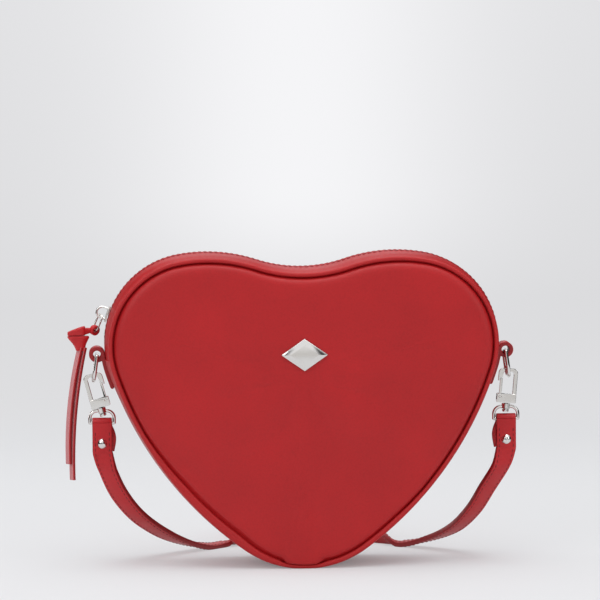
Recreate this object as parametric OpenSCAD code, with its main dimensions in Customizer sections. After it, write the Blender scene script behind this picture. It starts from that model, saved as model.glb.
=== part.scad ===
// Heart shaped zip bag with a clip-on leather strap.
// X runs to the wearer's right in the front view, Y to the back, Z up; the bag stands on z = 0.

/* [Bag outline] */
// Width across the two lobes
bag_w = 220; // [200:1:240]
// Height of the lobe centres over the foot
lobe_z = 124; // [116:1:132]
// Radius of a lobe's outer side
lobe_r = 50; // [45:1:54]
// Radius across the top of a lobe
crown_r = 90; // [80:1:105]
// Direction in which a lobe's side passes into its top, in degrees
crown_angle = 80; // [75:1:84]
// Radius of the long side curve
side_r = 200; // [180:5:240]
// Radius of the tip
tip_r = 60; // [52:1:68]
// Radius of the dip between the lobes
dip_r = 78; // [65:1:95]
// Distance between the front and the back seam
bag_d = 55; // [45:1:70]

/* [Leather and lining] */
// Thickness of the leather
leather_t = 1.5; // [1.2:0.1:1.8]
// Diameter of the piping
piping_d = 2.6; // [2.2:0.1:3]
// How far the gusset's crest stands out past the piping
gusset_rise = 1.9; // [1.4:0.1:2.6]
// Depth of the flat worn into the piping where the bag stands
foot_flat = 0.35; // [0.2:0.05:0.6]
// Height of the rolled edge of a panel over its seam
roll_h = 3; // [2:0.1:4]
// Width of the rolled edge of a panel
roll_run = 5.5; // [4:0.5:8]
// Further swell of the front panel towards its middle
front_swell = 1.8; // [1:0.1:3]
// Further swell of the back panel towards its middle
back_swell = 0.8; // [0.4:0.1:2]
// Thickness of a stiffening board
board_t = 1.2; // [0.8:0.1:1.6]
// Thickness of the lining cloth
lining_t = 0.6; // [0.4:0.1:1]
// Height of the inside pocket
pocket_h = 70; // [50:1:85]
// Width of the inside pocket
pocket_w = 110; // [80:1:125]

/* [Zip] */
// Direction at which the zip ends, above the level of the lobe centre, in degrees
zip_end = 3; // [0:1:8]
// Direction at which the slider rests, in degrees
slider_at = 19; // [17:1:28]
// Diameter of one row of zip teeth
coil_d = 1.8; // [1.5:0.1:2]
// Free gap between the two rows
coil_gap = 1; // [0.8:0.1:1.2]
// Width of one zip tape
tape_w = 9; // [7:0.5:12]
// Thickness of a zip tape
tape_t = 0.5; // [0.4:0.1:0.7]
// Length of the slider
slider_l = 9; // [8:0.5:10]
// Width of the slider
slider_w = 7; // [6.4:0.2:8]
// Thickness of a slider plate
plate_t = 0.9; // [0.7:0.1:1.1]
// Diameter of the slider's bail wire
bail_d = 1.3; // [1.1:0.1:1.4]
// Radius of the slider's bail
bail_r = 3; // [2.8:0.1:3.4]
// Wire of the pull ring
pull_wire_d = 1.1; // [1:0.1:1.2]
// Width of the pull ring, over its wire
pull_ring_w = 4.9; // [4.8:0.1:5.6]
// Length of the pull ring, over its wire
pull_ring_l = 10.4; // [9.5:0.1:12]
// Turn of the pull ring about its own length, in degrees
pull_twist = 40; // [30:1:45]
// Width of the leather pull strip
pull_w = 5; // [4:0.5:6]
// Length of the front tail of the pull strip
pull_l = 64; // [50:1:75]

/* [Ring tabs and D rings] */
// Direction of the loop of a ring tab, below the level of the lobe centre, in degrees
tab_at = 6; // [5:1:9]
// Width of a ring tab
tab_w = 11; // [9:0.5:11]
// Thickness of a ring tab
tab_t = 2.2; // [1.8:0.1:2.4]
// Hole in the loop of a ring tab
tab_hole_d = 4.4; // [4:0.1:5]
// Length of a ring tab's tail on the gusset
tab_tail = 19; // [15:1:24]
// Wire of the D ring and of its bar
ring_wire_d = 2.2; // [2:0.1:2.3]
// Radius of the D ring's round end, to the middle of its wire
ring_r = 7; // [6.9:0.1:8]
// Height of the D ring, from bar to round end, between wire middles
ring_h = 14.5; // [13.5:0.1:16]
// Outward lean of the hanging D ring, in degrees
ring_lean = 8; // [4:1:10]

/* [Snap hooks] */
// Inside width of a hook's window
window_w = 6; // [5.8:0.1:7]
// Inside height of a hook's window
window_h = 12.6; // [12:0.1:14]
// Width of the fixed bar of a hook
bar_w = 2.3; // [2:0.1:3]
// Width of the gate of a hook
gate_w = 1.5; // [1.4:0.1:1.8]
// Thickness of the hook's nose outside the gate
nose_t = 0.8; // [0.6:0.1:1.2]
// Thickness of a hook's bars, front to back
hook_t = 3; // [2.6:0.1:3.2]
// Height of a hook's base block
block_h = 5; // [4.6:0.1:6]
// Thickness of a hook's base block, front to back
block_t = 4.2; // [4:0.1:5]
// Diameter of the gate pin
gate_pin_d = 1.2; // [1:0.1:1.3]
// Diameter of the swivel stem
stem_d = 2.2; // [2:0.1:2.3]
// Diameter of the riveted head of the swivel stem
stem_head_d = 3.8; // [3.6:0.1:4]
// Wire of the swivel eye
eye_wire_d = 1.9; // [1.7:0.1:2]
// Radius of the two upper corners of the swivel eye
eye_corner_r = 4.1; // [3.8:0.1:4.3]
// Lean of the left hook towards the bag, in degrees
left_lean = 15; // [10:1:16]
// Lean of the right hook towards the bag, in degrees
right_lean = 5; // [3:1:10]

/* [Strap] */
// Width of the strap
strap_w = 11; // [9:0.5:11]
// Thickness of the strap
strap_t = 2.8; // [2.2:0.1:2.9]
// Thickness of the strap's skived end
strap_end_t = 1.4; // [1.2:0.1:1.6]
// Distance of the strap screw below the eye bar
screw_drop = 11.5; // [11:0.5:13]
// Diameter of the strap screw's head
screw_head_d = 5.6; // [5:0.1:6]
// Diameter of the strap screw's post
screw_post_d = 2.6; // [2:0.1:3]
// Radius of the put-away coil of the strap, to the strap's middle
coil_r = 40; // [38:0.5:42]
// Full double turns of the put-away coil
coil_turns = 1.5; // [1.5:1:1.5]

/* [Ornament] */
// Width of the metal ornament on the front
ornament_w = 26; // [20:1:32]
// Height of the metal ornament
ornament_h = 18; // [14:1:24]
// Height of the middle of the ornament over the foot
ornament_z = 119; // [105:1:130]
// Thickness of the ornament
ornament_t = 2.4; // [1.6:0.1:3.5]
// Diameter of the ornament's two fixing pins
ornament_pin_d = 1.6; // [1.2:0.1:2]

/* [Hidden] */

overrun = 1;
run_gap = 0.3;
seam_gap = 0.1;
fine_fn = 64;
hull_fn = 24;

// Outline: five tangent arcs a side, each [centre, radius, first direction, last direction, sign]
seam_y = bag_d / 2;
foot_sink = gusset_rise + foot_flat;
tip_c = [0, tip_r - foot_sink];
lobe_c = [bag_w / 2 - lobe_r, lobe_z];
side_c = meet(tip_c, side_r - tip_r, lobe_c, side_r - lobe_r);
crown_c = lobe_c - (crown_r - lobe_r) * [cos(crown_angle), sin(crown_angle)];
dip_c = [0, crown_c[1] + sqrt(pow(crown_r + dip_r, 2) - pow(crown_c[0], 2))];
tip_end = direction(tip_c - side_c);
side_end = direction(lobe_c - side_c);
crown_end = direction(dip_c - crown_c);
arcs = [
    [tip_c, tip_r, -90, tip_end, 1],
    [side_c, side_r, tip_end, side_end, 1],
    [lobe_c, lobe_r, side_end, crown_angle, 1],
    [crown_c, crown_r, crown_angle, crown_end, 1],
    [dip_c, dip_r, crown_end, 90, -1]];
arc_steps = [6, 7, 14, 5, 4];

function direction(v) = atan2(v[1], v[0]);
function meet(p, pr, q, qr) =
    let (d = q - p, l = norm(d), a = (pr * pr - qr * qr + l * l) / (2 * l))
    p + (a * d + sqrt(pr * pr - a * a) * [-d[1], d[0]]) / l;
function on_arc(a, phi, u) = a[0] + a[4] * (a[1] + a[4] * u) * [cos(phi), sin(phi)];
function mix(a, b, t) = a + (b - a) * t;
function unit(v) = v / norm(v);

// Right half of the outline moved out by u, from the tip to the dip
function half_outline(u) = concat(
    [for (k = [0:len(arcs) - 1], i = [0:arc_steps[k] - 1])
        on_arc(arcs[k], mix(arcs[k][2], arcs[k][3], i / arc_steps[k]), u)],
    [on_arc(arcs[4], 90, u)]);
function outline(u) =
    let (h = half_outline(u), n = len(h))
    concat(h, [for (i = [n - 2:-1:1]) [-h[i][0], h[i][1]]]);

// Closed solid through heart outlines, each [inset, distance from the middle plane]
module loft(rings) {
    n = len(outline(0));
    m = len(rings);
    points = [for (r = rings, p = outline(-r[0])) [p[0], -r[1], p[1]]];
    sides = [for (k = [0:m - 2], i = [0:n - 1])
        [k * n + i, k * n + (i + 1) % n, (k + 1) * n + (i + 1) % n, (k + 1) * n + i]];
    split = [for (q = sides, t = [[q[0], q[1], q[2]], [q[0], q[2], q[3]]]) t];
    caps = [[for (i = [n - 1:-1:0]) i], [for (i = [0:n - 1]) (m - 1) * n + i]];
    polyhedron(points, concat(split, caps));
}
module to_back() {
    mirror([0, 1, 0]) children();
}
module to_left() {
    mirror([1, 0, 0]) children();
}

// Sweeps a profile of (outward, forward) round an arc in the XZ plane
module arc_sweep(c, r, from, to) {
    translate([c[0], 0, c[1]])
        rotate([90, 0, 0])
            rotate([0, 0, from])
                rotate_extrude(angle = to - from, $fn = fine_fn * 3)
                    translate([r, 0])
                        children();
}
// Places round the outline, each [arc, direction, side], counterclockwise in the front view
right_places = concat(
    [for (k = [0:len(arcs) - 1], i = [0:arc_steps[k] - 1])
        [k, mix(arcs[k][2], arcs[k][3], i / arc_steps[k]), 1]],
    [[4, 90, 1]]);
function opposite(v) = [for (i = [len(v) - 1:-1:0]) [v[i][0], v[i][1], -1]];
function inner_part(v) = [for (i = [1:len(v) - 2]) v[i]];
whole_track = concat(right_places, inner_part(opposite(right_places)));
function above(phi) = concat([[2, phi, 1]], [for (p = right_places) if (p[0] > 2 || p[1] > phi) p]);
function below(phi) = concat([for (p = right_places) if (p[0] < 3 && p[1] < phi) p], [[2, phi, 1]]);
function zip_track(phi) =
    let (v = above(phi), w = opposite(v)) concat(v, [for (i = [1:len(w) - 1]) w[i]]);
function gusset_track(phi) =
    let (v = below(phi), w = opposite(v)) concat([for (i = [0:len(w) - 2]) w[i]], v);

// Sweeps a profile of [outward, forward, lowest z] points along a track; open tracks get flat ends
module sweep(track, profile, closed = false) {
    n = len(profile);
    m = len(track);
    points = [for (p = track, q = profile)
        let (c = on_arc(arcs[p[0]], p[1], q[0])) [p[2] * c[0], -q[1], max(c[1], q[2])]];
    sides = [for (k = [0:m - (closed ? 1 : 2)], i = [0:n - 1])
        let (j = (k + 1) % m)
        [k * n + i, k * n + (i + 1) % n, j * n + (i + 1) % n, j * n + i]];
    split = [for (q = sides, t = [[q[0], q[1], q[2]], [q[0], q[2], q[3]]]) t];
    caps = closed ? [] : [[for (i = [n - 1:-1:0]) i], [for (i = [0:n - 1]) (m - 1) * n + i]];
    polyhedron(points, concat(split, caps));
}
function disc(u, y, d, n) =
    [for (i = [0:n - 1]) [u + d / 2 * sin(360 * i / n), y + d / 2 * cos(360 * i / n), 0]];

// Piping between each panel and the gusset
piping_u = -gusset_rise - piping_d / 2;
piping_sides = 8;
module piping() {
    sweep(whole_track, disc(piping_u, seam_y, piping_d, piping_sides), true);
}

// Panels
groove = gusset_rise + piping_d + 2 * seam_gap;
deep = lobe_r - groove - piping_d;
hem_share = 1.2;
hem_in = hem_share * leather_t;
outer_shares = [0, 0.03, 0.1, 0.35, 1];
inner_shares = [1, 0.3, 0.1];
top_shares = [0.15, 1];
function swell_y(inset, swell) =
    let (t = min(1, (inset - groove) / roll_run), s = min(1, (inset - groove) / deep))
    seam_y + roll_h * sqrt(1 - pow(1 - t, 2)) + swell * sin(90 * s);
module panel(swell) {
    outer = [for (s = outer_shares) [groove + s * deep, swell_y(groove + s * deep, swell)]];
    inner = [for (s = inner_shares)
        [groove + s * deep, swell_y(groove + s * deep, swell) - leather_t]];
    hem = [[groove + hem_in, seam_y - leather_t], [groove, seam_y - leather_t]];
    loft(concat(inner, hem, outer));
}
module padding(swell) {
    edge = groove + hem_in + roll_run / 2;
    flat_y = seam_y - leather_t;
    top = [for (s = top_shares)
        [groove + s * deep + run_gap, swell_y(groove + s * deep, swell) - leather_t - seam_gap]];
    loft(concat([[groove + deep, flat_y], [edge, flat_y], [edge, flat_y + leather_t]], top));
}
board_inset = groove + hem_in;
module flat_heart(inset, y, t) {
    translate([0, -y, 0])
        rotate([90, 0, 0])
            linear_extrude(height = t)
                polygon(outline(-inset));
}
board_y = seam_y - leather_t - board_t;
lining_y = board_y - lining_t;

// Gusset, zip facings and tapes share one domed section across the bag
dome_half = seam_y - piping_d / 2 - seam_gap;
dome_drop = gusset_rise + piping_d / 2;
function dome_u(y) = -dome_drop * pow(y / dome_half, 2);
// Strip of the dome from y0 to y1, lying sink under it and t thick
function dome_strip(y0, y1, sink, t, steps) =
    let (ys = [for (i = [0:steps]) mix(y0, y1, i / steps)])
    concat(
        [for (y = ys) [dome_u(y) - sink - t, y, sink + t]],
        [for (i = [steps:-1:0]) [dome_u(ys[i]) - sink, ys[i], sink]]);
seam_turn = 0.3;
slit = coil_gap / 2 + coil_d + 2 * run_gap;
zip_under = leather_t + tape_t;
stop_turn = 1.4;
tooth_end = zip_end + 3 * stop_turn;
coil_u = coil_d / 2 - leather_t;
coil_y = coil_gap / 2 + coil_d / 2;
coil_sides = 6;
module facing() {
    sweep(zip_track(zip_end), dome_strip(slit, dome_half, 0, leather_t, 4));
}
module tape() {
    sweep(zip_track(zip_end), dome_strip(coil_gap / 2, tape_w, leather_t, tape_t, 1));
}
module coil_row() {
    sweep(zip_track(tooth_end), disc(coil_u, coil_y, coil_d, coil_sides));
}
module zip_stop() {
    w = coil_gap / 2 + coil_d;
    arc_sweep(lobe_c, lobe_r, tooth_end - stop_turn, tooth_end)
        translate([-leather_t, -w])
            square([coil_d, 2 * w]);
}

// Frame on the right lobe: x outward from the crest, y back, z along the crest upwards
module on_lobe(phi) {
    translate([lobe_c[0], 0, lobe_c[1]])
        rotate([0, -phi, 0])
            translate([lobe_r, 0, 0])
                children();
}

// Slider
plate_u = coil_d - leather_t + run_gap;
under_u = -zip_under - run_gap - plate_t;
under_share = 0.9;
half_turn = slider_l / 2 / lobe_r * 180 / PI;
bail_u = plate_u + plate_t + pull_ring_w / 2;
ring_top = bail_r - bail_d / 2 - run_gap - pull_wire_d / 2;
module slider_plate(u, w) {
    arc_sweep(lobe_c, lobe_r, slider_at - half_turn, slider_at + half_turn)
        translate([u, -w / 2])
            square([plate_t, w]);
}
module slider() {
    post_t = coil_gap - 2 * run_gap + seam_gap;
    slider_plate(plate_u, slider_w);
    slider_plate(under_u, slider_w * under_share);
    arc_sweep(lobe_c, lobe_r, slider_at, slider_at + half_turn)
        translate([under_u, -post_t / 2])
            square([plate_u - under_u + plate_t, post_t]);
    on_lobe(slider_at) {
        arc_sweep([bail_u, 0], bail_r, -90, 90) circle(d = bail_d, $fn = fine_fn);
        for (s = [-1, 1])
            translate([plate_u + plate_t / 2, 0, s * bail_r])
                rotate([0, 90, 0])
                    cylinder(d = bail_d, h = bail_u - plate_u - plate_t / 2, $fn = fine_fn);
    }
}

// Pull ring: x along its length from the bail's centre
pull_dip = 4;
module on_pull() {
    on_lobe(slider_at)
        translate([bail_u, 0, 0])
            rotate([0, 90 - pull_dip, 0])
                rotate([pull_twist, 0, 0])
                    children();
}
pull_half = (pull_ring_w - pull_wire_d) / 2;
pull_end = ring_top + pull_ring_l - pull_wire_d;
module ring_bend(x, from) {
    translate([x, 0, 0])
        rotate([0, 0, from])
            rotate_extrude(angle = 180, $fn = fine_fn)
                translate([pull_half, 0])
                    circle(d = pull_wire_d, $fn = fine_fn);
}
module pull_loop() {
    ring_bend(ring_top + pull_half, 90);
    ring_bend(pull_end - pull_half, -90);
    for (s = [-1, 1])
        translate([ring_top + pull_half, s * pull_half, 0])
            rotate([0, 90, 0])
                cylinder(d = pull_wire_d, h = pull_end - ring_top - 2 * pull_half, $fn = fine_fn);
}

// Knotted pull strip, in the XZ plane of the right side
lobe_dir = [cos(slider_at), sin(slider_at)];
pull_dir = [cos(slider_at + pull_dip - 90), sin(slider_at + pull_dip - 90)];
pull_pivot = lobe_c + (lobe_r + bail_u) * lobe_dir + pull_end * pull_dir;
knot_t = 1.3;
knot_hole_d = pull_wire_d + 4 * run_gap;
knot_w = 12;
knot_d = 6;
knot_h = 6.6;
knot_out = 9.2;
knot_drop = 4;
knot_c = pull_pivot + [knot_out, -knot_drop];
knot_shift = 1.4;
tail_c = knot_c - [knot_shift, knot_h];
tail_out = 7.2;
tail_bow = 2.3;
tail_t = 1.5;
strand_w = 2;
fold_share = 1.6;
fold_d = fold_share * knot_t;
back_tail_share = 1.14;
back_tail_shift = 2;
module bar_y(p, d, w) {
    translate([p[0], w / 2, p[1]])
        rotate([90, 0, 0])
            cylinder(d = d, h = w, $fn = hull_fn);
}
module knot_slab(p, w, d, t) {
    translate([p[0], 0, p[1]])
        scale([1, d / w, 1])
            cylinder(d = w, h = t, $fn = hull_fn);
}
module tail(length, shift, y0) {
    a = tail_c + [shift, knot_t];
    b = tail_c + [tail_out + shift, -length];
    chord = norm(b - a);
    r = (chord * chord / 4 + tail_bow * tail_bow) / (2 * tail_bow);
    inward = unit([b[1] - a[1], a[0] - b[0]]);
    c = (a + b) / 2 + (r - tail_bow) * inward;
    translate([0, y0, 0])
        arc_sweep(c, r - pull_w / 2, direction(b - c), direction(a - c))
            square([pull_w, tail_t]);
}
module pull_knot() {
    difference() {
        union() {
            hull() {
                knot_slab(knot_c, knot_w, knot_d, knot_t / 2);
                knot_slab(tail_c, pull_w, 2 * tail_t + knot_t, knot_t);
            }
            hull() {
                bar_y(knot_c + [knot_w / 2 - knot_t, knot_t], fold_d, pull_w);
                bar_y(knot_c + [-knot_w / 4, knot_t], knot_t, pull_w);
                bar_y(knot_c + [-knot_w / 3, 2 * knot_t + knot_drop / 2], fold_d, pull_w);
            }
            hull() {
                translate([pull_pivot[0] + knot_hole_d, 0, pull_pivot[1]])
                    sphere(d = strand_w + knot_t / 2, $fn = hull_fn);
                bar_y(knot_c + [-knot_w / 3, knot_t], 2 * knot_t, strand_w + knot_t);
            }
            on_pull()
                translate([pull_end, strand_w / 2, 0])
                    rotate([90, 0, 0])
                        cylinder(d = knot_hole_d + 2 * knot_t, h = strand_w, $fn = fine_fn);
        }
        on_pull()
            translate([pull_end, knot_w / 2, 0])
                rotate([90, 0, 0])
                    cylinder(d = knot_hole_d, h = knot_w, $fn = fine_fn);
    }
}

// Ring tabs and D rings, on the right
tab_r = tab_hole_d / 2 + tab_t;
tab_end_share = 0.98;
tab_dir = [cos(tab_at), -sin(tab_at)];
loop_c = lobe_c + (lobe_r + tab_r) * tab_dir;
bar_sink = tab_hole_d / 2 - ring_wire_d / 2 - run_gap;
bar_c = loop_c - [0, bar_sink];
lobe_left = (-side_end - tab_at) * lobe_r * PI / 180;
tail_turn = (tab_tail - lobe_left) / side_r * 180 / PI;
tail_dirs = concat([for (i = [0:6]) mix(-tab_at, side_end, i / 6)], [side_end - tail_turn]);
function crest(phi, u) =
    phi >= side_end ? on_arc(arcs[2], phi, u) : on_arc(arcs[1], phi, u);
module tab_outline() {
    inner = [for (d = tail_dirs) crest(d, 0)];
    outer = [for (i = [len(tail_dirs) - 1:-1:0]) crest(tail_dirs[i], tab_t)];
    end = side_end - tail_turn;
    difference() {
        union() {
            polygon(concat(inner, outer));
            translate(crest(end, tab_t / 2)) circle(d = tab_t * tab_end_share, $fn = fine_fn);
            translate(loop_c) circle(r = tab_r, $fn = fine_fn);
        }
        translate(loop_c) circle(d = tab_hole_d, $fn = fine_fn);
    }
}
module ring_tab() {
    translate([0, tab_w / 2, 0])
        rotate([90, 0, 0])
            linear_extrude(height = tab_w)
                tab_outline();
}
module d_ring() {
    leg = ring_h - ring_r;
    translate([bar_c[0], 0, bar_c[1]])
        rotate([0, -ring_lean, 0]) {
            translate([0, ring_r, 0])
                rotate([90, 0, 0])
                    cylinder(d = ring_wire_d, h = 2 * ring_r, $fn = fine_fn);
            for (s = [-1, 1]) {
                translate([0, s * ring_r, 0]) sphere(d = ring_wire_d, $fn = fine_fn);
                translate([0, s * ring_r, -leg])
                    cylinder(d = ring_wire_d, h = leg, $fn = fine_fn);
            }
            translate([0, 0, -leg])
                rotate([0, 90, 0])
                    rotate([0, 0, -90])
                        rotate_extrude(angle = 180, $fn = fine_fn)
                            translate([ring_r, 0])
                                circle(d = ring_wire_d, $fn = fine_fn);
        }
}
hang_c = bar_c + ring_h * [sin(ring_lean), -cos(ring_lean)];

// Snap hook: x towards the bag, z along its own axis, origin in the middle of the D ring's wire
hang_play = 1.3;
window_top = ring_wire_d / 2 + hang_play;
window_low = window_top - window_h;
block_low = window_low - block_h;
half_window = window_w / 2;
hook_left = -half_window - bar_w;
hook_right = half_window + gate_w + run_gap + nose_t;
top_bar_share = 0.8;
hook_top = window_top + bar_w * top_bar_share;
corner_share = 0.45;
corner_r = window_w * corner_share;
window_share = 0.55;
window_r = corner_r * window_share;
boss_h = 2.9;
boss_up = 1.8;
boss_d = 4.8;
boss_bore_d = stem_d + 2 * run_gap;
eye_r = strap_w / 2 + run_gap + eye_wire_d / 2;
arch_z = block_low - run_gap - boss_up;
head_h = 1.6;
head_top = arch_z + boss_up - boss_h - run_gap;
gate_drop = 0.45;
gate_top = -ring_wire_d / 2 - gate_drop;
nose_low = gate_top - gate_w;
pin_x = half_window + gate_w / 2;
pin_z = window_low - gate_w;
gate_slot_share = 0.7;
gate_slot = gate_w * gate_slot_share;
module plate_xz(t) {
    translate([0, t / 2, 0])
        rotate([90, 0, 0])
            linear_extrude(height = t)
                children();
}
module rounded(x0, z0, x1, z1, r) {
    hull()
        for (x = [x0 + r, x1 - r], z = [z0 + r, z1 - r])
            translate([x, z]) circle(r = r, $fn = hull_fn);
}
module hook_frame() {
    difference() {
        rounded(hook_left, window_low - corner_r, hook_right, hook_top, corner_r);
        rounded(-half_window, window_low - 2 * corner_r, half_window, window_top, window_r);
        translate([hook_left - overrun, window_low - 3 * corner_r])
            square([hook_right - hook_left + 2 * overrun, 3 * corner_r]);
        translate([half_window - gate_w, window_low])
            square([hook_right, nose_low - window_low]);
        translate([half_window - gate_w, window_low])
            square([2 * gate_w + run_gap, gate_top + run_gap - window_low]);
    }
}
module hook() {
    plate_xz(hook_t) hook_frame();
    difference() {
        translate([hook_left, -block_t / 2, block_low])
            cube([hook_right - hook_left, block_t, block_h]);
        translate([half_window - gate_slot, -hook_t / 2 - seam_gap, pin_z - gate_w - seam_gap])
            cube([window_w, hook_t + 2 * seam_gap, block_h]);
        translate([pin_x, block_t / 2 + overrun, pin_z])
            rotate([90, 0, 0])
                cylinder(d = gate_pin_d, h = block_t + 2 * overrun, $fn = fine_fn);
    }
    translate([0, 0, head_top])
        cylinder(d = stem_d, h = block_low - head_top, $fn = fine_fn);
    translate([0, 0, head_top - head_h])
        cylinder(d = stem_head_d, h = head_h, $fn = fine_fn);
}
spring_t = 0.4;
spring_d = gate_pin_d + 2 * spring_t;
spring_w = hook_t / 3;
module gate() {
    difference() {
        union() {
            plate_xz(hook_t - 2 * seam_gap) {
                translate([half_window, pin_z]) square([gate_w, gate_top - pin_z]);
                translate([pin_x, pin_z]) circle(d = gate_w, $fn = fine_fn);
            }
        }
        translate([pin_x, hook_t, pin_z])
            rotate([90, 0, 0])
                cylinder(d = gate_pin_d + seam_gap, h = 2 * hook_t, $fn = fine_fn);
        translate([0, -spring_w / 2 - seam_gap, pin_z - gate_w])
            cube([hook_right, spring_w + 2 * seam_gap, gate_w * 2 + seam_gap]);
    }
}
module gate_pin() {
    translate([pin_x, block_t / 2, pin_z])
        rotate([90, 0, 0])
            cylinder(d = gate_pin_d, h = block_t, $fn = fine_fn);
}
module gate_spring() {
    translate([pin_x, spring_w / 2, pin_z])
        rotate([90, 0, 0])
            difference() {
                cylinder(d = spring_d, h = spring_w, $fn = fine_fn);
                translate([0, 0, -overrun])
                    cylinder(d = gate_pin_d + seam_gap, h = spring_w + 2 * overrun, $fn = fine_fn);
            }
}
// Places a hook on the right, turned so that its x axis points to the bag
module on_hook(lean) {
    translate([hang_c[0], 0, hang_c[1]])
        rotate([0, lean, 0])
            mirror([1, 0, 0])
                children();
}
function eye_at(lean) = hang_c + arch_z * [sin(lean), cos(lean)] - [0, eye_r];

module eye_rod(half, z) {
    translate([-half, 0, z])
        rotate([0, 90, 0])
            cylinder(d = eye_wire_d, h = 2 * half, $fn = fine_fn);
}
module eye_boss(lean, d, more) {
    translate([0, 0, eye_r])
        rotate([0, lean, 0])
            translate([0, 0, boss_up - boss_h - more])
                cylinder(d = d, h = boss_h + 2 * more, $fn = fine_fn);
}
module eye(lean) {
    e = eye_at(lean);
    span = eye_r - eye_corner_r;
    translate([e[0], 0, e[1]]) {
        difference() {
            union() {
                eye_rod(span, eye_r);
                eye_boss(lean, boss_d, 0);
            }
            eye_boss(lean, boss_bore_d, overrun);
        }
        eye_rod(eye_r, 0);
        for (s = [-1, 1]) {
            arc_sweep([s * span, span], eye_corner_r, 45 - 45 * s, 135 - 45 * s)
                circle(d = eye_wire_d, $fn = fine_fn);
            translate([s * eye_r, 0, 0]) {
                sphere(d = eye_wire_d, $fn = fine_fn);
                cylinder(d = eye_wire_d, h = span, $fn = fine_fn);
            }
        }
    }
}

// Strap ends: folded round the eye bar and held by a screw
end_hole_r = eye_wire_d / 2 + 2 * run_gap;
end_r = end_hole_r + strap_end_t;
front_y = -end_r;
back_y = front_y + strap_t + strap_end_t;
pinch = screw_drop - screw_head_d / 2;
fold_end = screw_drop + screw_head_d / 2 + strap_end_t;
module end_profile() {
    difference() {
        union() {
            hull() {
                circle(r = end_r, $fn = hull_fn * 2);
                translate([front_y, -pinch]) square([back_y - front_y, strap_end_t]);
            }
            translate([front_y, -fold_end + strap_end_t / 2])
                square([back_y - front_y, fold_end - pinch]);
            translate([front_y, -fold_end]) square([strap_t, strap_end_t]);
        }
        hull() {
            circle(r = end_hole_r, $fn = hull_fn * 2);
            translate([front_y + strap_end_t + run_gap, -pinch + strap_end_t])
                circle(d = run_gap, $fn = hull_fn);
        }
    }
}
module strap_end(lean) {
    e = eye_at(lean);
    difference() {
        translate([e[0] - strap_w / 2, 0, e[1] - run_gap])
            rotate([90, 0, 90])
                linear_extrude(height = strap_w)
                    end_profile();
        translate([e[0], back_y + overrun, e[1] - screw_drop])
            rotate([90, 0, 0])
                cylinder(d = screw_post_d, h = back_y - front_y + 2 * overrun, $fn = fine_fn);
    }
}

// Strap route, each point [place, direction across the strap]; the left leg runs down to the floor
left_eye = eye_at(left_lean);
right_eye = eye_at(right_lean);
strap_y = front_y + strap_t / 2;
leg_z = fold_end + run_gap;
flat_z = strap_t / 2;
edge_z = strap_w / 2;
// A leg starts under its strap end and turns its face outwards as it falls
function leg(e, inward, turned, places) = concat(
    [[[e[0], strap_y, e[1] - leg_z], [1, 0, 0]], [[e[0] - inward, strap_y + 1.5, 53], turned]],
    places);
left_leg = [
    [[102, 9, 38], [0.77, -0.57, 0.29]],
    [[91.5, 21, 24], [0.64, -0.69, 0.34]],
    [[77.5, 36, 12.5], [0.5, -0.81, 0.3]],
    [[64, 49.5, 5.2], [0.26, -0.95, 0.15]],
    [[52, 61, flat_z], [0, -1, 0]]];
right_leg = [
    [[105, 9, 39.5], [0.74, -0.6, 0.3]],
    [[98, 20, 25.5], [0.64, -0.69, 0.34]],
    [[88.5, 34, 13.5], [0.53, -0.8, 0.29]],
    [[75, 48.5, 5.6], [0.31, -0.94, 0.15]],
    [[60, 61, flat_z], [0, -1, 0]]];
left_tail = [
    [[-41, 71.5, flat_z], [0, -1, 0]],
    [[-25, 75.2, 5.1], [0, -0.7, 0.7]]];
right_tail = [
    [[41.2, 92, edge_z], [0, 0, 1]],
    [[46.5, 76.5, 4.6], [0.4, -0.6, 0.6]]];
coil_c = [0, 115];
coil_pitch = 7.6;
strand_gap = coil_pitch / 2;
left_start = -100;
left_stop = 500;
right_start = -8;
right_stop = 360 * coil_turns;
coil_step = 12;
bight = [[-26.4, -9], [-21, -18], [-10.5, -22.5], [2, -21], [10.5, -13.5], [12, -4], [6.5, 3.5],
    [-4, 5.5], [-14, 6], [-20.3, 9.8]];
leg_steps = 4;
function strand(r, a) = [[coil_c[0] + r * cos(a), coil_c[1] + r * sin(a), edge_z], [0, 0, 1]];
function left_r(a) =
    coil_r - strand_gap - coil_pitch * a / 360 * (a < 0 ? 2 : 1);
function right_r(a) = coil_r - coil_pitch * a / 360;
function mirrored(p) = [[-p[0][0], p[0][1], p[0][2]], p[1]];
function spline(p, q, r, s, t) =
    0.5 * (2 * q + (r - p) * t + (2 * p - 5 * q + 4 * r - s) * t * t
    + (3 * q - p - 3 * r + s) * t * t * t);
// Smooth curve through hand placed stations, left open at both ends
function smooth(st, n) = [
    for (i = [0:len(st) - 2], k = [0:n - 1])
        let (a = st[max(0, i - 1)], b = st[i], c = st[i + 1], d = st[min(len(st) - 1, i + 2)])
        [spline(a[0], b[0], c[0], d[0], k / n), mix(b[1], c[1], k / n)]];
left_leg_route = concat(
    [for (p = leg(left_eye, 3, [0.85, -0.52, 0.09], left_leg)) mirrored(p)], left_tail);
right_leg_flip = [for (p = leg(right_eye, 2.8, [0.91, -0.42, 0.07], right_leg))
    [p[0], [-p[1][0], p[1][1], p[1][2]]]];
right_leg_route = concat(right_tail, [for (i = [len(right_leg_flip) - 1:-1:0]) right_leg_flip[i]]);
left_turns = [for (a = [left_start:coil_step:left_stop]) strand(left_r(a), a)];
right_turns = [for (a = [right_stop:-coil_step:right_start]) strand(right_r(a), a)];
bight_route = [for (i = [len(bight) - 1:-1:0])
    [[coil_c[0] + bight[i][0], coil_c[1] + bight[i][1], edge_z], [0, 0, 1]]];
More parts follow.
